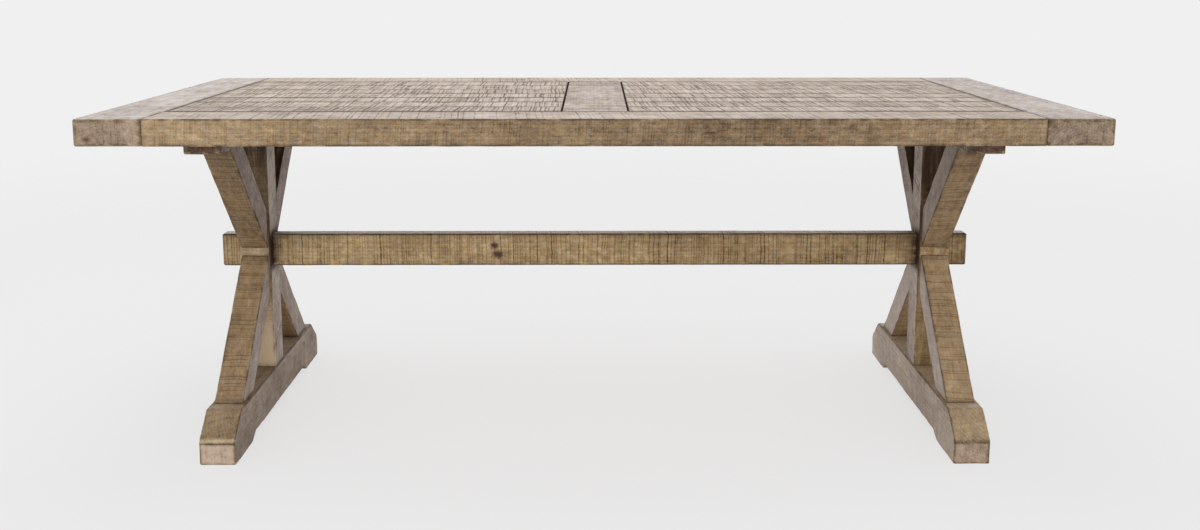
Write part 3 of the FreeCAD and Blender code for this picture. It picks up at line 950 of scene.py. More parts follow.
    def all_knots(self, marks: Marks) -> Socket:
        """The board's knots: the ones listed, and a few wild ones, at most one to a cell.

        Args:
            marks: the board's marks.

        Returns:
            One at a knot's heart, nought away from the knots.
        """
        tree = marks.tree
        inverse = tuple(1 / size for size in self.knot_cell)
        scaled = add_node(tree, "VectorMath", {0: marks.grain, 1: inverse}, operation="MULTIPLY")["Vector"]
        cells = add_node(tree, "TexVoronoi", {"Vector": scaled, "Scale": 1.0,
                                              "Randomness": self.knot_scatter})
        apart = add_node(tree, "VectorMath", {0: scaled, 1: cells["Position"]},
                         operation="SUBTRACT")["Vector"]
        away = add_node(tree, "VectorMath", {0: apart, 1: self.knot_cell}, operation="MULTIPLY")["Vector"]
        pick = add_node(tree, "SeparateColor", {"Color": cells["Color"]})["Red"]
        some = add_node(tree, "Math", {0: pick, 1: self.wild_knots}, operation="LESS_THAN")["Value"]
        wild = self.ball(tree, away, self.wild_knot)
        most = add_node(tree, "Math", {0: wild, 1: some}, operation="MULTIPLY")["Value"]
        place = add_node(tree, "TexCoord", {})["Object"]
        for knot in self.knots:
            apart = add_node(tree, "VectorMath", {0: place, 1: knot.place}, operation="SUBTRACT")["Vector"]
            away = add_node(tree, "VectorMath", {0: apart, 1: tuple(1 / k for k in knot.stretch)},
                            operation="MULTIPLY")["Vector"]
            faded = add_node(tree, "Math", {0: self.ball(tree, away, knot.radius), 1: knot.depth},
                             operation="MULTIPLY")["Value"]
            most = add_node(tree, "Math", {0: most, 1: faded}, operation="MAXIMUM")["Value"]
        return most

    def tones(self, marks: Marks, kerfs: Socket, fibres: Socket, knots: Socket) -> Socket:
        """How light the stain is, about a half on average.

        Formula: a half plus the board's own tone, plus each pattern's share times its distance from a
        half, less the kerfs' share. The rings' share differs on a sawn end.

        Args:
            marks: the board's marks.
            kerfs: one in the blade's marks.
            fibres: the wood's fibres.
            knots: how far inside a knot each place is.

        Returns:
            Nought for the darkest tone, one for the lightest.
        """
        tree = marks.tree
        rings = add_node(tree, "Math", {0: self.rings(marks, knots), 1: -0.5}, operation="ADD")["Value"]
        share = add_node(tree, "MapRange", {"Value": marks.end, "To Min": -self.ring,
                                            "To Max": -self.end_ring})["Result"]
        total = add_node(tree, "Math", {0: rings, 1: share, 2: marks.tone}, operation="MULTIPLY_ADD")["Value"]
        parts = ((self.mottle(marks, self.cloud_spots), self.cloud),
                 (self.mottle(marks, self.blotch_spots), self.blotch),
                 (self.mottle(marks, self.grit_spots), self.grit),
                 (self.mottle(marks, self.sweep_spots), self.sweep),
                 (fibres, self.fibre), (kerfs, -self.kerf))
        for pattern, part in parts:
            total = add_node(tree, "Math", {0: pattern, 1: part, 2: total}, operation="MULTIPLY_ADD")["Value"]
        spots = self.cloud + self.blotch + self.grit + self.sweep + self.fibre
        middle = 0.5 - 0.5 * spots + self.kerf_cover * self.kerf
        return add_node(tree, "Math", {0: total, 1: middle}, operation="ADD")["Value"]

    def faces(self, marks: Marks, tones: Socket) -> Socket:
        """The stain's colour on each face: brown in front, grey at the sides and pale on top, partly from a
        grey wash and partly as painted sheen.

        Args:
            marks: the board's marks.
            tones: how light the stain is.

        Returns:
            The colour.
        """
        tree = marks.tree
        colour = self.stained.over(tree, tones)
        for spots, share, tint in ((self.ochre_spots, self.golden, self.ochre),
                                   (self.slate_spots, self.cool, self.slate)):
            patches = add_node(tree, "MapRange", {"Value": self.mottle(marks, spots),
                                                  "From Min": self.tint_span[0],
                                                  "From Max": self.tint_span[1],
                                                  "To Max": share})["Result"]
            colour = add_node(tree, "Mix", {MIX_FACTOR: patches, MIX_A: colour, MIX_B: srgb(tint)},
                              data_type="RGBA", blend_type="COLOR")[MIX_RESULT]
        # The grey wash on tops and sides, partly painted sheen: the grazing reflection of a white room
        cover = add_node(tree, "MapRange", {"Value": self.mottle(marks, self.wash_and_sheen_spots),
                                            "From Min": self.wash_and_sheen_span[0], "From Max": self.wash_and_sheen_span[1],
                                            "To Min": self.wash_least})["Result"]
        upward = add_node(tree, "Math", {0: marks.upward, 1: self.wash_up}, operation="MULTIPLY")["Value"]
        sides = add_node(tree, "Math", {0: marks.sideways, 1: self.wash_and_sheen_side}, operation="MULTIPLY")["Value"]
        sides = add_node(tree, "Math", {0: sides, 1: self.wash_all}, operation="MAXIMUM")["Value"]
        grey = add_node(tree, "Math", {0: sides, 1: cover}, operation="MULTIPLY")["Value"]
        white = add_node(tree, "Math", {0: upward, 1: cover}, operation="MULTIPLY")["Value"]
        for share, coat in ((marks.end, self.ended), (grey, self.side_wash_and_sheen), (white, self.washed)):
            colour = add_node(tree, "Mix", {MIX_FACTOR: share, MIX_A: colour, MIX_B: coat.over(tree, tones)},
                              data_type="RGBA")[MIX_RESULT]
        return colour

    def aged(self, marks: Marks, colour: Socket, knots: Socket) -> Socket:
        """Age and painted shade: knots, arrises rubbed pale or packed dark by turns, and stain gathered at
        the joints, whose dark colour also paints shade under and between parts.

        Args:
            marks: the board's marks.
            colour: the colour before that.
            knots: how far inside a knot each place is.

        Returns:
            The colour with age on it.
        """
        tree = marks.tree
        steps: List[Tuple[Socket, str]] = []
        for span, most, tint in ((self.rust_span, self.rust_most, self.rust),
                                 (self.bark_span, self.bark_most, self.bark)):
            share = add_node(tree, "MapRange", {"Value": knots, "From Min": span[0], "From Max": span[1],
                                                "To Max": most})
            steps.append((share["Result"], tint))
        turn = self.mottle(marks, self.turn_spots)
        for span, most, tint in ((self.worn_span, self.light_arris, self.wear),
                                 (self.packed_span, self.dark_arris, self.packed)):
            share = add_node(tree, "MapRange", {"Value": turn, "From Min": self.arris_turn + span[0],
                                                "From Max": self.arris_turn + span[1], "To Max": most})
            held = add_node(tree, "Math", {0: share["Result"], 1: marks.near}, operation="MULTIPLY")
            steps.append((held["Value"], tint))
        # Gathered stain and painted shade, made uneven and mixed in as one dark colour
        uneven = add_node(tree, "MapRange", {"Value": self.mottle(marks, self.run_spots),
                                             "From Min": self.run_span[0], "From Max": self.run_span[1],
                                             "To Min": self.run_strengths[0],
                                             "To Max": self.run_strengths[1]})["Result"]
        gathered = add_node(tree, "Math", {0: marks.stain, 1: uneven}, operation="MULTIPLY", use_clamp=True)
        steps.append((gathered["Value"], self.gap_and_shade))
        for share, tint in steps:
            colour = add_node(tree, "Mix", {MIX_FACTOR: share, MIX_A: colour, MIX_B: srgb(tint)},
                              data_type="RGBA")[MIX_RESULT]
        return colour

    def relief(self, marks: Marks, kerfs: Socket, fibres: Socket, knots: Socket) -> Socket:
        """The surface's depth: blade marks of about 0.4 mm, torn fibres and standing knots.

        Args:
            marks: the board's marks.
            kerfs: one in the blade's marks.
            fibres: the wood's fibres.
            knots: how far inside a knot each place is.

        Returns:
            The bumped normal.
        """
        tree = marks.tree
        patterns = (fibres, self.mottle(marks, self.torn_spots), kerfs, knots)
        depth: Union[float, Socket] = 0.0
        for pattern, share in zip(patterns, self.relief_shares):
            depth = add_node(tree, "Math", {0: pattern, 1: share, 2: depth},
                             operation="MULTIPLY_ADD")["Value"]
        return add_node(tree, "Bump", {"Height": depth, "Strength": 0.8,
                                       "Distance": self.relief_depth})["Normal"]


@dataclass(frozen=True)
class PlatedSteel:
    """Zinc plated steel hardware: a dull bright metal, cloudy from its bath."""

    name: str
    colour: str = "B9B6AC"
    dullness: float = 0.92
    roughness: float = 0.38
    roughness_play: Pair = (-0.12, 0.20)
    cloud: float = 4.0 * MM

    def material(self) -> bpy.types.Material:
        """Builds the plating, with clouds that are rougher and a little darker.

        Returns:
            The material.
        """
        material = bpy.data.materials.new(self.name)
        tree = bare_tree(material)
        place = add_node(tree, "TexCoord", {})["Object"]
        cloud = add_node(tree, "TexNoise", {"Vector": place, "Scale": 1 / self.cloud, "Detail": 4.0})["Fac"]
        least, most = (self.roughness + play for play in self.roughness_play)
        rough = add_node(tree, "MapRange", {"Value": cloud, "To Min": least, "To Max": most})["Result"]
        dull = add_node(tree, "HueSaturation", {"Color": srgb(self.colour),
                                                "Value": self.dullness})["Color"]
        tinted = add_node(tree, "Mix", {MIX_FACTOR: cloud, MIX_A: srgb(self.colour), MIX_B: dull},
                          data_type="RGBA")[MIX_RESULT]
        shader = add_node(tree, "BsdfPrincipled", {"Base Color": tinted, "Metallic": 1.0, "Roughness": rough})
        add_node(tree, "OutputMaterial", {"Surface": shader["BSDF"]})
        return material


@dataclass(frozen=True)
class TurnedBeech:
    """Beech dowel rod: pale, smooth and close-grained, with short dark flecks along it."""

    name: str
    pale: str = "CDAE84"
    fleck: str = "9A7A52"
    fleck_width: float = 0.8 * MM
    fleck_length: float = 6.0 * MM
    fleck_span: Pair = (0.50, 0.75)
    roughness: float = 0.55

    def material(self) -> bpy.types.Material:
        """Builds the dowels' wood. The dowels lie along Y, and so do their flecks.

        Returns:
            The material.
        """
        material = bpy.data.materials.new(self.name)
        tree = bare_tree(material)
        place = add_node(tree, "TexCoord", {})["Object"]
        size = (self.fleck_width, self.fleck_length, self.fleck_width)
        drawn = add_node(tree, "Mapping", {"Vector": place, "Scale": size}, vector_type="TEXTURE")["Vector"]
        flecks = add_node(tree, "TexNoise", {"Vector": drawn, "Scale": 1.0, "Detail": 3.0})["Fac"]
        amount = add_node(tree, "MapRange", {"Value": flecks, "From Min": self.fleck_span[0],
                                             "From Max": self.fleck_span[1]})["Result"]
        tinted = add_node(tree, "Mix", {MIX_FACTOR: amount, MIX_A: srgb(self.pale), MIX_B: srgb(self.fleck)},
                          data_type="RGBA")[MIX_RESULT]
        shader = add_node(tree, "BsdfPrincipled", {"Base Color": tinted, "Roughness": self.roughness})
        add_node(tree, "OutputMaterial", {"Surface": shader["BSDF"]})
        return material


@dataclass
class TableTop:
    """The top: end boards, rails, crosspiece and planks, with the battens that hold them level.

    Pairs of values are the left end's and the right end's. Seam stains run from the front seam to
    the back one, and both rails take the front one. A depth is how far a patch on a face reaches into
    the board.
    """

    # How round arrises and ends are
    arris: float = 2.2 * MM
    end_arris: float = 4.0 * MM
    end_round: float = 5.0 * MM
    seam: float = 2.8 * MM
    end_seam: float = 1.5 * MM
    slot_arris: float = 0.6 * MM
    batten_step: float = 12 * MM
    # Tones of whole boards, and shades of the front edge
    end_tones: Pair = (0.0, -0.06)
    crosspiece_tone: float = -0.03
    left_tones: Tuple[float, ...] = (-0.13, 0.04, -0.04, 0.03, -0.04, 0.02, 0.0)
    right_tones: Tuple[float, ...] = (0.05, -0.06, 0.02, -0.04, 0.03, -0.03, 0.0)
    end_front_shades: Pair = (0.0, -0.09)
    rail_front_shade: float = -0.27
    rail_shade_middle: float = 0.16
    rail_shade_reach: float = 0.60
    front_depth: float = 8 * MM
    # Stain in the joints between end boards and rails, on top and in front
    end_top_stains: Pair = (1.25, 1.00)
    end_front_stains: Pair = (0.85, 0.40)
    end_joint_reach: float = 2.2 * MM
    end_top_depth: float = 12 * MM
    end_front_depth: float = 3 * MM
    rail_end_stains: Pair = (0.75, 0.25)
    rail_end_reach: float = 1.6 * MM
    # Stain in the seams, at the planks' ends and in the slots, and painted shade on the bearer under them
    seam_stains: Tuple[float, ...] = (1.90, 0.80, 1.35, 1.35, 1.10, 0.75, 0.65, 0.80)
    seam_reach: float = 4.4 * MM
    rail_seam_depth: float = 8 * MM
    crosspiece_end_stain: float = 0.6
    plank_end_stain: float = 2.2
    plank_end_reach: float = 3.5 * MM
    slot_stain: float = 0.30
    slot_reach: float = 0.8 * MM
    bearer_stain: float = 1.4
    rail_knots: Tuple[Knot, ...] = (
        Knot((-0.447, -0.508, 0.766), 7.5 * MM, (1.2, 1.0, 1.0), 0.62),
        Knot((0.236, -0.508, 0.758), 5.0 * MM, (3.2, 1.0, 0.8), 0.95),
        Knot((0.262, -0.508, 0.763), 4.0 * MM, (3.0, 1.0, 0.7), 0.85),
        Knot((0.443, -0.508, 0.762), 2.6 * MM, (1.0, 1.0, 1.0), 1.0))
    end_knots: Tuple[Knot, ...] = (Knot((-1.040, -0.508, 0.744), 8.0 * MM, (1.3, 1.0, 0.9), 0.80),)

    def build(self) -> None:
        """Makes every board of the top."""
        # Rails: wide brown front edges with faint fine kerfs, and deep coarse kerfs on top
        rails = SawnPine("stained pine, band-sawn rails", knots=self.rail_knots, pith=(0.02, -0.14),
                         kerf=0.65, kerf_even=0.40, kerf_deep=0.08, kerf_up=1.05, kerf_fine=5.5 * MM,
                         kerf_coarse=12 * MM, sweep=0.26, fibre=0.24, golden=0.60, cool=0.45,
                         arris_turn=0.46, dark_arris=0.80, light_arris=0.15)
        # End boards: the wash was wiped off less, so they are the palest and smoothest boards; their pale top
        # is partly painted sheen
        ends = SawnPine("stained pine, band-sawn end boards", knots=self.end_knots, washed=WIPED_WASH_AND_SHEEN_TOP, golden=0.2,
                        wash_all=0.2, pith=(0.02, 0.10), kerf=0.50, end_ring=0.10, dark_arris=0.60,
                        light_arris=0.25)
        # Planks: the roughest boards, with close, dark kerfs straight across them
        planks = SawnPine("stained pine, band-sawn planks", kerf=1.25, kerf_even=0.45, kerf_deep=0.85,
                          kerf_fine=5.5 * MM, kerf_coarse=10 * MM, kerf_width=2.9 * MM, kerf_least=0.5,
                          dark_arris=0.30, light_arris=0.1)
        # Crosspiece: as the planks, but with shallower kerfs, and cooler where less of the stain shows, in
        # its top wash and painted sheen
        crosspiece = replace(planks, name="stained pine, band-sawn crosspiece", washed=COOLED_WASH_AND_SHEEN_TOP, kerf=1.0)
        # Battens: never seen from above, so left unstained and clean from the saw
        battens = SawnPine("sawn pine, unfinished battens", stained=BARE, side_wash_and_sheen=BARE, washed=BARE,
                           golden=0.1, kerf=0.35, dark_arris=0.1)
        self.frame_boards(rails.material(), ends.material())
        self.planks(planks.material(), crosspiece.material())
        self.battens(battens.material())

    def frame_boards(self, rails: bpy.types.Material, ends: bpy.types.Material) -> None:
        """The end boards, and the rails between them.

        Args:
            rails: the rails' finish.
            ends: the end boards' finish.
        """
        inner: List[float] = []
        for number, side in enumerate(ENDS):
            node = side.word + "_end_board"
            low, high = corners(node)
            joint = side.inner(low, high)
            inner.append(joint)
            on_top = (self.end_joint_reach, FAR, self.end_top_depth)
            in_front = (self.end_joint_reach, self.end_front_depth, FAR)
            stains = (Patch((joint, 0.0, high[2]), on_top, self.end_top_stains[number]),
                      Patch((joint, low[1], 0.0), in_front, self.end_front_stains[number]))
            shade = Patch((0.0, low[1], 0.0), (FAR, self.front_depth, FAR), self.end_front_shades[number],
                          hardness=2.0)
            board = Board.between(node, low, high, Way.ALONG_Y, arris=self.end_arris,
                                  end_round=self.end_round, stains=stains, shades=(shade,),
                                  tone=self.end_tones[number])
            board.build(ends, "end_boards")
        for face in FACES:
            node = face.word + "_rail"
            low, high = corners(node)
            low[0], high[0] = inner
            stains = [Patch.across(0, joint, self.rail_end_reach, stain)
                      for joint, stain in zip(inner, self.rail_end_stains)]
            stains.append(Patch((0.0, face.inner(low, high), high[2]),
                                (FAR, self.seam_reach, self.rail_seam_depth), self.seam_stains[0]))
            shade = Patch((self.rail_shade_middle, face.outer(low, high), 0.0),
                          (self.rail_shade_reach, self.front_depth, FAR), self.rail_front_shade, hardness=2.0)
            Board.between(node, low, high, Way.ALONG_X, arris=self.arris, stains=tuple(stains),
                          shades=(shade,), end_round=self.end_seam).build(rails, "frame_boards")

    def planks(self, wood: bpy.types.Material, middle: bpy.types.Material) -> None:
        """The crosspiece and the fourteen planks, whose tongues are hidden in the end boards.

        Args:
            wood: the planks' finish.
            middle: the crosspiece's finish.
        """
        node = "centre_crosspiece"
        low, high = corners(node)
        stains = [Patch.across(0, place, self.slot_reach, self.slot_stain) for place in (low[0], high[0])]
        stains += [Patch.across(1, place, self.seam_reach, self.crosspiece_end_stain)
                   for place in (low[1], high[1])]
        Board.between(node, low, high, Way.ALONG_Y, arris=self.slot_arris, end_round=self.seam,
                      stains=tuple(stains), tone=self.crosspiece_tone).build(middle, "crosspiece_wood")
        for side, tones in zip(ENDS, (self.left_tones, self.right_tones)):
            end = side.inner(*corners(side.word + "_end_board"))
            for number in range(PLANKS_TO_A_FIELD):
                node = "%s_plank_%d" % (side.word, number + 1)
                low, high = corners(node)
                slot = side.inner(low, high)
                low[0], high[0] = sorted((slot, end))
                stains = (Patch.across(0, end, self.plank_end_reach, self.plank_end_stain),
                          Patch.across(0, slot, self.slot_reach, self.slot_stain),
                          Patch.across(1, low[1], self.seam_reach, self.seam_stains[number]),
                          Patch.across(1, high[1], self.seam_reach, self.seam_stains[number + 1]))
                Board.between(node, low, high, Way.ALONG_X, arris=self.seam, end_round=self.slot_arris,
                              tone=tones[number], stains=stains).build(wood, "planks")

    def battens(self, wood: bpy.types.Material) -> None:
        """The bearers and battens under the planks, between the rails; shade under the slots is painted dark.

        Args:
            wood: their finish.
        """
        start = corners("front_rail")[1][1]
        end = corners("back_rail")[0][1]
        nodes = ["centre_bearer"]
        nodes += [side.word + kind for side in ENDS for kind in ("_field_batten", "_trestle_bearer")]
        for node in nodes:
            low, high = corners(node)
            low[1], high[1] = start, end
            # The bearer's top under the slots is painted dark, as shade at the bottom of the slots
            top_stain = self.bearer_stain if node == "centre_bearer" else 0.0
            Board.between(node, low, high, Way.ALONG_Y, row_step=self.batten_step,
                          face_stains=(0.0, top_stain)).build(wood, "battens")


@dataclass
class Trestle:
    """One trestle: a foot, a post, a cleat under the top and four braces.

    A depth is how far a patch on a face reaches into the wood, and a line is a dark line along an
    arris; on the post it is painted shade.
    """

    side: Side
    # How round arrises and ends are, and how hollow the faces
    arris: float = 1.9 * MM
    cleat_arris: float = 4.0 * MM
    cleat_round: float = 5.0 * MM
    post_round: float = 0.8 * MM
    brace_round: float = 1.2 * MM
    brace_hollow: float = 0.6 * MM
    brace_step: float = 6 * MM
    foot_arris: float = 3.0 * MM
    foot_hollow: float = 0.7 * MM
    foot_step: float = 5 * MM
    # The foot's outline: heights of its top at their distances from an end, and the arch under it
    foot_tops: Tuple[float, ...] = (50 * MM, 62 * MM, 108 * MM)
    foot_top_runs: Tuple[float, ...] = (0.0, 6 * MM, 61 * MM)
    foot_arch: float = 16 * MM
    foot_pad: float = 133 * MM
    foot_arch_run: float = 34 * MM
    # The cleat is dark all over, partly as painted shade under the top, and darker where the top begins
    cleat_tone: float = -0.34
    cleat_top_stain: float = 0.6
    cleat_top_reach: float = 7 * MM
    # How deep patches on a face are, thin ones and others
    face_depth: float = 3 * MM
    shade_depth: float = 5 * MM
    # The post: stain at its two ends and round the stretcher
    post_head_stain: float = 0.6
    post_head_reach: float = 9 * MM
    post_toe_stain: float = 0.7
    post_toe_reach: float = 4 * MM
    beam_stain: float = 1.5
    beam_reach: float = 4 * MM
    beam_reach_share: float = 0.62
    # The post's front and back: painted shade under the top, above the stretcher and along the inner arris
    post_top_shade: float = -0.18
    post_top_shade_reach: float = 255 * MM
    post_top_stain: float = 0.90
    post_top_reach: float = 110 * MM
    above_beam: float = 80 * MM
    above_beam_painted_shade: float = 0.55
    above_beam_reach: float = 60 * MM
    post_line: float = 0.85
    post_line_rise: float = 60 * MM
    post_line_reach: float = 6 * MM
    post_line_run: float = 250 * MM
    junction_shade: float = 0.04
    junction_reach: float = 12 * MM
    post_shade: float = 0.0
    post_shade_reach: float = 150 * MM
    # The braces: stain at both cuts and in the corner on the post, painted shade on one face of the
    # upper ones and in their tone, and dark lines along one arris
    brace_tone: float = 0.0
    upper_brace_shade: float = -0.13
    upper_brace_line: float = 0.65
    lower_brace_line: float = 0.50
    inner_stain: float = 0.85
    brace_cut_stain: float = 0.85
    brace_seat_reach: float = 2.5 * MM
    brace_post_reach: float = 3 * MM
    brace_corner_stain: float = 0.5
    brace_corner_reach: Pair = (8 * MM, 7 * MM)
    # The foot: a dark line under each lip, a painted highlight on each lip, a worn ledge before each
    # brace, and a top darkened as painted shade between the braces
    foot_tone: float = 0.0
    foot_line: float = 0.65
    foot_top_shade: float = -0.14
    foot_end_shade: float = 0.0
    foot_end_depth: float = 4 * MM
    lip_stain: float = 0.8
    lip_drop: float = 1.5 * MM
    lip_line_reach: float = 2 * MM
    lip_wear: float = 0.45
    lip_highlight_reach: Pair = (9 * MM, 5 * MM)
    toe_ledge: float = 34 * MM
    toe_wear: float = 0.24

    def build(self, post: bpy.types.Material, cleat: bpy.types.Material, braces: bpy.types.Material,
              foot: bpy.types.Material) -> None:
        """Makes the trestle's seven pieces.

        Args:
            post: the finish of the post.
            cleat: that of the cleat.
            braces: that of the braces.
            foot: that of the foot.
        """
        self.cleat(cleat)
        self.post(post)
        self.foot(foot)
        for face in FACES:
            for level in Level:
                self.brace(face, level, braces)

    def cleat(self, wood: bpy.types.Material) -> None:
        """The flat beam under the top, darkest where the top begins.

        Args:
            wood: its finish.
        """
        node = self.side.word + "_cleat"
        low, high = corners(node)
        # The whole cleat's tone is darker, partly as painted shade under the top
        stain = Patch.across(2, high[2], self.cleat_top_reach, self.cleat_top_stain)
        Board.between(node, low, high, Way.ALONG_Y, arris=self.cleat_arris, end_round=self.cleat_round,
                      stains=(stain,), tone=self.cleat_tone).build(wood, "trestle_wood")

    def post(self, wood: bpy.types.Material) -> None:
        """The upright between foot and cleat; its tenons are hidden in them.

        Its front and back are painted dark, as shade, under the top, above the stretcher and along their
        inner arrises, and a little paler in a band between the braces. Dark stain has gathered round the
        stretcher.

        Args:
            wood: its finish.
        """
        node = self.side.word + "_post"
        low, high = corners(node)
        low[2] = corners(self.side.word + "_foot")[1][2]
        high[2] = corners(self.side.word + "_cleat")[0][2]
        beam_low, beam_high = corners("stretcher")
        level = (beam_low[2] + beam_high[2]) / 2
        round_beam = (self.beam_reach, FAR, self.beam_reach_share * (beam_high[2] - beam_low[2]))
        inner = self.side.inner(low, high)
        stains = [Patch.across(2, high[2], self.post_head_reach, self.post_head_stain),
                  Patch.across(2, low[2], self.post_toe_reach, self.post_toe_stain),
                  Patch((inner, 0.0, level), round_beam, self.beam_stain, hardness=6.0)]
        shades: List[Patch] = []
        # Painted shade: front and back darkened under the top, above the stretcher and along the inner arris
        for face in (low[1], high[1]):
            stains += [Patch((0.0, face, high[2]), (FAR, self.face_depth, self.post_top_reach),
                             self.post_top_stain, hardness=2.5),
                       Patch((0.0, face, level + self.above_beam),
                             (FAR, self.face_depth, self.above_beam_reach), self.above_beam_painted_shade,
                             hardness=3.0),
                       Patch((inner, face, level + self.post_line_rise),
                             (self.post_line_reach, self.face_depth, self.post_line_run), self.post_line,
                             hardness=3.0)]
            shades += [Patch((0.0, face, level), (FAR, self.shade_depth, self.junction_reach),
                             self.junction_shade, hardness=4.0),
                       Patch((0.0, face, low[2]), (FAR, self.shade_depth, self.post_shade_reach),
                             self.post_shade, hardness=3.0),
                       Patch((0.0, face, high[2]), (FAR, self.face_depth, self.post_top_shade_reach),
                             self.post_top_shade, hardness=5.0)]
        Board.between(node, low, high, Way.UPRIGHT, arris=self.arris, stains=tuple(stains),
                      shades=tuple(shades), end_round=self.post_round).build(wood, "trestle_wood")

    def foot(self, wood: bpy.types.Material) -> None:
        """The foot: two pads, a shallow arch and sloped noses, each over a lip with a painted highlight.

        Formula: the section's top and bottom edges are broken lines along the foot, so the surface is
        ruled across it.

        Args:
            wood: its finish.
        """
        node = self.side.word + "_foot"
        low, high = corners(node)
        length = high[1] - low[1]
        runs, tops = np.array(self.foot_top_runs), np.array(self.foot_tops)
        arch = np.array([self.foot_pad, self.foot_pad + self.foot_arch_run])
        places = np.unique(np.concatenate([runs, arch, length - runs, length - arch]))
        top = np.interp(places, np.concatenate([runs, (length - runs)[::-1]]),
                        np.concatenate([tops, tops[::-1]]))
        bottom = np.interp(places, np.concatenate([arch, (length - arch)[::-1]]),
                           (0.0, self.foot_arch, self.foot_arch, 0.0))
        lip, nose = self.foot_tops[:2]
        stains: List[Patch] = []
        shades: List[Patch] = []
        for face in FACES:
            end = face.outer(low, high)
            ledge = end - face.value[1] * (runs[-1] + self.toe_ledge / 2)
            stains.append(Patch((0.0, end, lip - self.lip_drop),
                                (FAR, self.lip_line_reach, self.lip_line_reach), self.lip_stain,
                                hardness=2.0))
            # A painted highlight on each lip's bevel, which faces up towards the light
            shades += [Patch((0.0, end, (lip + nose) / 2), (FAR, *self.lip_highlight_reach), self.lip_wear,
                             hardness=3.0),
                       Patch((0.0, end, 0.0), (FAR, self.foot_end_depth, FAR), self.foot_end_shade,
                             hardness=4.0),
                       Patch((0.0, ledge, high[2]), (FAR, self.toe_ledge / 2, self.face_depth),
                             self.toe_wear, hardness=6.0)]
        # Painted shade on the flat top between the braces
        flat_top = (FAR, length / 2 - runs[-1], self.face_depth)
        shades.append(Patch((0.0, 0.0, high[2]), flat_top, self.foot_top_shade, hardness=8.0))
        inner_top = [0.0] * len(ARRISES)
        inner_top[ARRISES.index((self.side.value[1], 1))] = self.foot_line
        board = Board.between(node, low, high, Way.ALONG_Y, arris=self.foot_arris,
                              row_step=self.foot_step, hollow=self.foot_hollow, stains=tuple(stains),
                              shades=tuple(shades), arris_stains=tuple(inner_top), tone=self.foot_tone)
        middle = (low[2] + high[2]) / 2
        replace(board, low=bottom - middle, high=top - middle, places=places).build(wood, "foot_wood")

    def brace(self, face: Side, level: Level, wood: bpy.types.Material) -> None:
        """One brace, cut level on its seat and upright against the post.

        Formula: its middle line joins the middles of the two cuts; each cut is a plane in which s
        leans with q by minus the ratio of the up and along directions' parts square to the plane.

        Args:
            face: front or back.
            level: whether it is one of the upper or of the lower braces.
            wood: its finish.
        """
        node = "%s_%s_%s_brace" % (self.side.word, face.word, level.name.lower())
        upper = level is Level.UPPER
        low, high = corners(node)
        thick = high[0] - low[0]
        toe, post = face.outer(low, high), face.inner(low, high)
        seat, back = (high[2], low[2]) if upper else (low[2], high[2])
        lean = math.atan2(abs(back - seat), abs(post - toe))
        start = np.array([(low[0] + high[0]) / 2, toe - face.value[1] * thick / math.sin(lean) / 2, seat])
        end = np.array([start[0], post, back + level.value * thick / math.cos(lean) / 2])
        length = float(np.linalg.norm(end - start))
        along = (end - start) / length
        across = np.array([1.0, 0.0, 0.0])
        rising = np.cross(along, across)
        half = thick / 2
        stains = (Patch.across(2, seat, self.brace_seat_reach, self.brace_cut_stain),
                  Patch.across(1, post, self.brace_post_reach, self.brace_cut_stain),
                  Patch((0.0, post, back), (FAR, *self.brace_corner_reach), self.brace_corner_stain))
        # Upper braces are painted dark on the face that looks up and in, as shade under the top, and their
        # whole tone is darker as painted shade. On every brace a dark line runs along the arris between its
        # outward face and the side that looks at the table's middle
        shaded = self.inner_stain if upper else 0.0
        lines = [0.0] * len(ARRISES)
        dark_arris = ARRISES.index((-self.side.value[1], -level.value * face.value[1]))
        lines[dark_arris] = self.upper_brace_line if upper else self.lower_brace_line
        board = Board(node, start, np.array([along, across, rising]), length, half, np.full(2, -half),
                      np.full(2, half), np.array([0.0, 1.0]), arris=self.arris,
                      row_step=self.brace_step, end_round=self.brace_round, hollow=self.brace_hollow,
                      start_lean=-rising[2] / along[2], end_lean=-rising[1] / along[1], stains=stains,
                      arris_stains=tuple(lines),
                      face_stains=(shaded, 0.0) if face is Side.FRONT else (0.0, shaded),
                      tone=self.brace_tone + (self.upper_brace_shade if upper else 0.0))
        board.build(wood, "brace_wood")


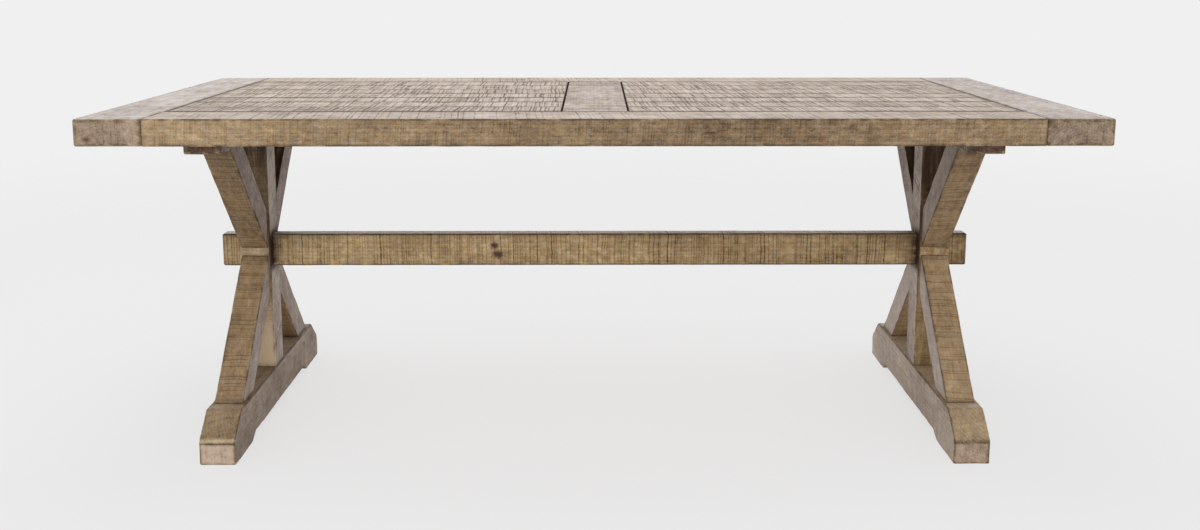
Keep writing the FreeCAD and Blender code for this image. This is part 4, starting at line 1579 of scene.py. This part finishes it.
@dataclass
class TrestlePair:
    """Both trestles, with their finishes. The left post is greyer and paler than the right one."""

    # The colour of the stain gathered on the posts and of the shade painted on them, browner than on the
    # other boards
    post_gap: str = "3A220C"

    def build(self) -> None:
        """Makes both trestles."""
        # Posts and cleats: kerfs at a slant, little wash and painted sheen, and red-brown end grain under the
        # top
        shared = SawnPine("stained pine, sawn left post", slant_narrow=0.5, kerf_even=0.4, kerf_deep=0.4)
        left_post = replace(shared, golden=0.15, wash_all=0.15, gap_and_shade=self.post_gap).material()
        right_post = replace(shared, name="stained pine, sawn right post", golden=0.45, wash_all=0.0,
                             gap_and_shade=self.post_gap).material()
        cleats = replace(shared, name="stained pine, sawn cleats", golden=0.6,
                         ended=RED_END_GRAIN).material()
        # Braces: fine kerfs all along over golden brown, on their outward faces
        braces = SawnPine("stained pine, sawn braces", slant_narrow=0.6, golden=0.7, kerf=0.40,
                          kerf_even=0.80, kerf_side=-0.45, kerf_least=0.85, kerf_deep=0.06, ring=0.06,
                          kerf_fine=4.5 * MM, kerf_coarse=17 * MM, kerf_width=2 * MM, blotch=0.70,
                          grit=0.50, cloud=0.60, sweep=0.22, wild_knots=0.05).material()
        # Feet: smoothed by hand, so fibres show more than kerfs, and pale end grain in front
        feet = SawnPine("stained pine, shaped feet", slant_narrow=0.35, kerf=0.45, kerf_even=0.35,
                        kerf_deep=0.25, kerf_side=0.15, fibre=0.38, blotch=0.60, cloud=0.60,
                        ended=PALE_END_GRAIN, golden=0.30, cool=0.5, wash_and_sheen_side=0.70, wash_up=0.25,
                        end_ring=0.04, dark_arris=0.40).material()
        left = Trestle(Side.LEFT, post_shade=0.82, brace_tone=-0.045, foot_tone=-0.09,
                       foot_end_shade=0.12)
        right = Trestle(Side.RIGHT, post_shade=-0.14, post_top_shade=-0.40, post_top_stain=1.05,
                        post_top_reach=190 * MM, brace_tone=0.12, upper_brace_shade=-0.22,
                        foot_tone=0.15, foot_end_shade=-0.43, lip_stain=0.35, lip_wear=0.15)
        left.build(left_post, cleats, braces, feet)
        right.build(right_post, cleats, braces, feet)


@dataclass
class Stretcher:
    """The long board through both posts, darker where it meets them.

    Pairs of shades are the left half's and the right half's. Stain lies in a thin seam against each
    side of the posts, fades out from their inner sides, pools there under the top edge, and runs
    along the top arrises.
    """

    arris: float = 1.5 * MM
    end_round: float = 5.5 * MM
    row_step: float = 6 * MM
    tone: float = 0.01
    half_shades: Pair = (0.19, -0.06)
    half_place: float = 0.80
    stub_shades: Pair = (-0.20, -0.31)
    stub_reach: float = 70 * MM
    fading_stain: float = 1.1
    fading_reach: float = 13 * MM
    inner_seam_stain: float = 2.0
    outer_seam_stain: float = 0.8
    seam_reach: float = 4 * MM
    pool_stain: float = 0.70
    pool_run: float = 55 * MM
    pool_drop: float = 22 * MM
    top_line: float = 0.9
    top_line_reach: Pair = (2.5 * MM, 3 * MM)
    knots: Tuple[Knot, ...] = (
        Knot((-0.241, -0.0175, 0.389), 15.0 * MM, (1.1, 1.0, 1.0), 1.0),
        Knot((-0.250, -0.0175, 0.412), 12.0 * MM, (1.0, 1.0, 1.0), 1.0))

    def build(self) -> None:
        """Makes the stretcher."""
        node = "stretcher"
        low, high = corners(node)
        stains: List[Patch] = []
        for side in ENDS:
            post = corners(side.word + "_post")
            inner = side.inner(*post)
            stains += [Patch.across(0, inner, self.fading_reach, self.fading_stain),
                       Patch.across(0, inner, self.seam_reach, self.inner_seam_stain),
                       Patch((inner, 0.0, high[2]), (self.pool_run, FAR, self.pool_drop),
                             self.pool_stain, hardness=1.5),
                       Patch.across(0, side.outer(*post), self.seam_reach, self.outer_seam_stain)]
        stains += [Patch((0.0, face, high[2]), (FAR, *self.top_line_reach), self.top_line, hardness=2.0)
                   for face in (low[1], high[1])]
        shades = [Patch.across(0, side.value[1] * self.half_place, self.half_place, shade)
                  for side, shade in zip(ENDS, self.half_shades)]
        shades += [Patch.across(0, side.outer(low, high), self.stub_reach, shade)
                   for side, shade in zip(ENDS, self.stub_shades)]
        # Stretcher: brown sides with upright kerfs from end to end, and a top painted near white, partly a
        # chalky wash and partly painted light
        wood = SawnPine("stained pine, sawn stretcher", knots=self.knots, kerf=0.95, kerf_even=0.50,
                        kerf_deep=0.65, kerf_coarse=11.5 * MM, kerf_width=2.1 * MM, kerf_least=0.55,
                        sweep=0.45, washed=WASH_AND_PAINTED_LIGHT_TOP, wash_up=1.0, wash_least=0.95, wash_all=0.0, golden=0.34,
                        cool=0.40, arris_turn=0.40, dark_arris=0.9, light_arris=0.1, wild_knots=0.0)
        Board.between(node, low, high, Way.ALONG_X, arris=self.arris, row_step=self.row_step,
                      end_round=self.end_round, stains=tuple(stains), shades=tuple(shades),
                      tone=self.tone).build(wood.material(), "stretcher_wood")


@dataclass
class Hardware:
    """The screws, bolts, washers, inserts and dowels, which keep their CAD shapes."""

    # Zinc after a chromate bath is yellowish, and plain zinc a warm grey
    chromate: str = "B7A66E"

    def dress(self) -> None:
        """Gives every fastener its metal, and the dowels their wood."""
        screws = PlatedSteel("zinc and chromate plated steel", colour=self.chromate).material()
        bolts = PlatedSteel("zinc plated steel").material()
        beech = TurnedBeech("beech dowel rod").material()
        finishes = {"plank_screws": screws, "cleat_screws": screws, "foot_screws": screws,
                    "stretcher_screws": screws, "top_bolts": bolts, "bolt_washers": bolts,
                    "threaded_inserts": bolts, "brace_dowels": beech}
        for node, finish in finishes.items():
            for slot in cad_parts[node].material_slots:
                slot.material = finish
            LOG.info("%s: dressed in %s", node, finish.name)


@dataclass(frozen=True)
class Lamp:
    """A square soft light: where it hangs and points, its side in metres and its power in watts."""

    name: str
    place: Point
    target: Point
    side: float
    power: float


@dataclass
class Studio:
    """The plain studio: a pale floor, a soft light tent and the camera of the photograph.

    The camera's frame is that of the photograph, in pixels, and its angles are in degrees.
    """

    focal_pixels: float = 1215.9
    frame_width: float = 1200.0
    frame_height: float = 530.0
    principal_row: float = 170.0
    eye: Point = (-0.001, -2.974, 1.076)
    pitch: float = 9.09
    yaw: float = 0.26
    sensor: float = 36.0
    backdrop: str = "F0F0F0"
    floor_white: str = "F4F4F4"
    paper_share: float = 0.75
    wall_glow: float = 1.0
    roof_glow: float = 0.35
    glow_span: Pair = (0.45, 0.90)
    floor_radius: float = 6.0
    fade_radius: float = 1.6
    floor_turns: int = 96
    floor_rings: int = 24
    lamps: Tuple[Lamp, ...] = (Lamp("top_light", (-0.2, 0.6, 3.3), (0.0, 0.1, 0.78), 2.4, 30.0),
                               Lamp("front_light", (-0.2, -4.4, 2.2), (0.0, 0.0, 0.40), 2.4, 44.0))

    def build(self) -> None:
        """Makes the camera, the floor and the lights."""
        self.camera()
        self.floor()
        for lamp in self.lamps:
            self.hang(lamp)
        self.world()
        bpy.context.scene.view_settings.view_transform = "Standard"

    def camera(self) -> None:
        """A camera at the photograph's place, its frame shifted by less than a tenth of its width."""
        data = bpy.data.cameras.new("camera")
        data.sensor_width = self.sensor
        data.lens = self.focal_pixels / self.frame_width * self.sensor
        data.shift_y = (self.principal_row - self.frame_height / 2) / self.frame_width
        camera = link("camera", data)
        camera.location = self.eye
        camera.rotation_euler = (math.radians(90 - self.pitch), 0.0, math.radians(-self.yaw))
        bpy.context.scene.camera = camera

    def floor(self) -> None:
        """A round pale floor that thins out to nothing at its rim.

        Formula: points at r (cos a, sin a) for even steps of the radius r and the angle a, round a
        middle point. The camera sees it mostly as plain paper, which keeps the object's shadow, and
        from below it sees the object through it.
        """
        turns = np.linspace(0, 2 * math.pi, self.floor_turns + 1)[:-1]
        radii = np.linspace(0, self.floor_radius, self.floor_rings + 1)[1:]
        ring = np.stack([np.outer(radii, np.cos(turns)), np.outer(radii, np.sin(turns)),
                         np.zeros((len(radii), len(turns)))], 2).reshape(-1, 3)
        index = 1 + np.arange(len(ring)).reshape(len(radii), len(turns))
        fan = np.stack([np.zeros(len(turns), int), index[0], np.roll(index[0], -1)], 1)
        quads = np.stack([index[:-1], index[1:], np.roll(index[1:], -1, 1), np.roll(index[:-1], -1, 1)], 2)
        mesh = bpy.data.meshes.new("floor")
        mesh.from_pydata([(0.0, 0.0, 0.0)] + ring.tolist(), [], quads.reshape(-1, 4).tolist() + fan.tolist())
        # Matt paint: no gloss at all, so the floor shows nothing but the object's soft shadow
        material = bpy.data.materials.new("matt white floor")
        tree = bare_tree(material)
        far = add_node(tree, "VectorMath", {0: add_node(tree, "TexCoord", {})["Object"]}, operation="LENGTH")
        fade = add_node(tree, "MapRange", {"Value": far["Value"], "From Min": self.fade_radius,
                                           "From Max": self.floor_radius}, interpolation_type="SMOOTHSTEP")
        matt = add_node(tree, "BsdfDiffuse", {"Color": srgb(self.floor_white)})
        paper = add_node(tree, "Emission", {"Color": srgb(self.backdrop), "Strength": 1.0})
        camera_ray = add_node(tree, "LightPath", {})["Is Camera Ray"]
        below = add_node(tree, "NewGeometry", {})["Backfacing"]
        seen = add_node(tree, "Math", {0: camera_ray, 1: self.paper_share}, operation="MULTIPLY")["Value"]
        through = add_node(tree, "Math", {0: camera_ray, 1: below}, operation="MULTIPLY")["Value"]
        gone = add_node(tree, "Math", {0: fade["Result"], 1: through}, operation="MAXIMUM")["Value"]
        shown = add_node(tree, "MixShader", {0: seen, 1: matt["BSDF"], 2: paper["Emission"]})
        clear = add_node(tree, "BsdfTransparent", {})
        mixed = add_node(tree, "MixShader", {0: gone, 1: shown["Shader"], 2: clear["BSDF"]})
        add_node(tree, "OutputMaterial", {"Surface": mixed["Shader"]})
        mesh.materials.append(material)
        link("floor", mesh)

    def hang(self, lamp: Lamp) -> None:
        """Adds a lamp and turns it to its target.

        Args:
            lamp: what it is like.
        """
        data = bpy.data.lights.new(lamp.name, "AREA")
        data.size = lamp.side
        data.energy = lamp.power
        hung = link(lamp.name, data)
        hung.location = lamp.place
        hung.rotation_euler = (Vector(lamp.target) - Vector(lamp.place)).to_track_quat("-Z", "Y").to_euler()

    def world(self) -> None:
        """A white tent with glowing walls lights the object; the camera and reflections see the backdrop."""
        world = bpy.data.worlds.new("studio")
        bpy.context.scene.world = world
        tree = bare_tree(world)
        path = add_node(tree, "LightPath", {})
        seen = path["Is Camera Ray"]
        for ray in ("Is Glossy Ray", "Is Transmission Ray"):
            seen = add_node(tree, "Math", {0: seen, 1: path[ray]}, operation="MAXIMUM")["Value"]
        height = add_node(tree, "SeparateXYZ", {"Vector": add_node(tree, "TexCoord", {})["Generated"]})["Z"]
        glow = add_node(tree, "MapRange", {"Value": height, "From Min": self.glow_span[0],
                                           "From Max": self.glow_span[1], "To Min": self.wall_glow,
                                           "To Max": self.roof_glow},
                        interpolation_type="SMOOTHSTEP")["Result"]
        tent = add_node(tree, "Background", {"Color": srgb("FFFFFF"), "Strength": glow})
        paper = add_node(tree, "Background", {"Color": srgb(self.backdrop), "Strength": 1.0})
        mixed = add_node(tree, "MixShader", {0: seen, 1: tent["Background"], 2: paper["Background"]})
        add_node(tree, "OutputWorld", {"Surface": mixed["Shader"]})


def main() -> None:
    """Builds the table piece by piece, then the studio around it."""
    logging.basicConfig(level=logging.INFO, format="%(message)s")
    Studio().build()
    TableTop().build()
    TrestlePair().build()
    Stretcher().build()
    Hardware().dress()


if __name__ == "__main__":
    main()
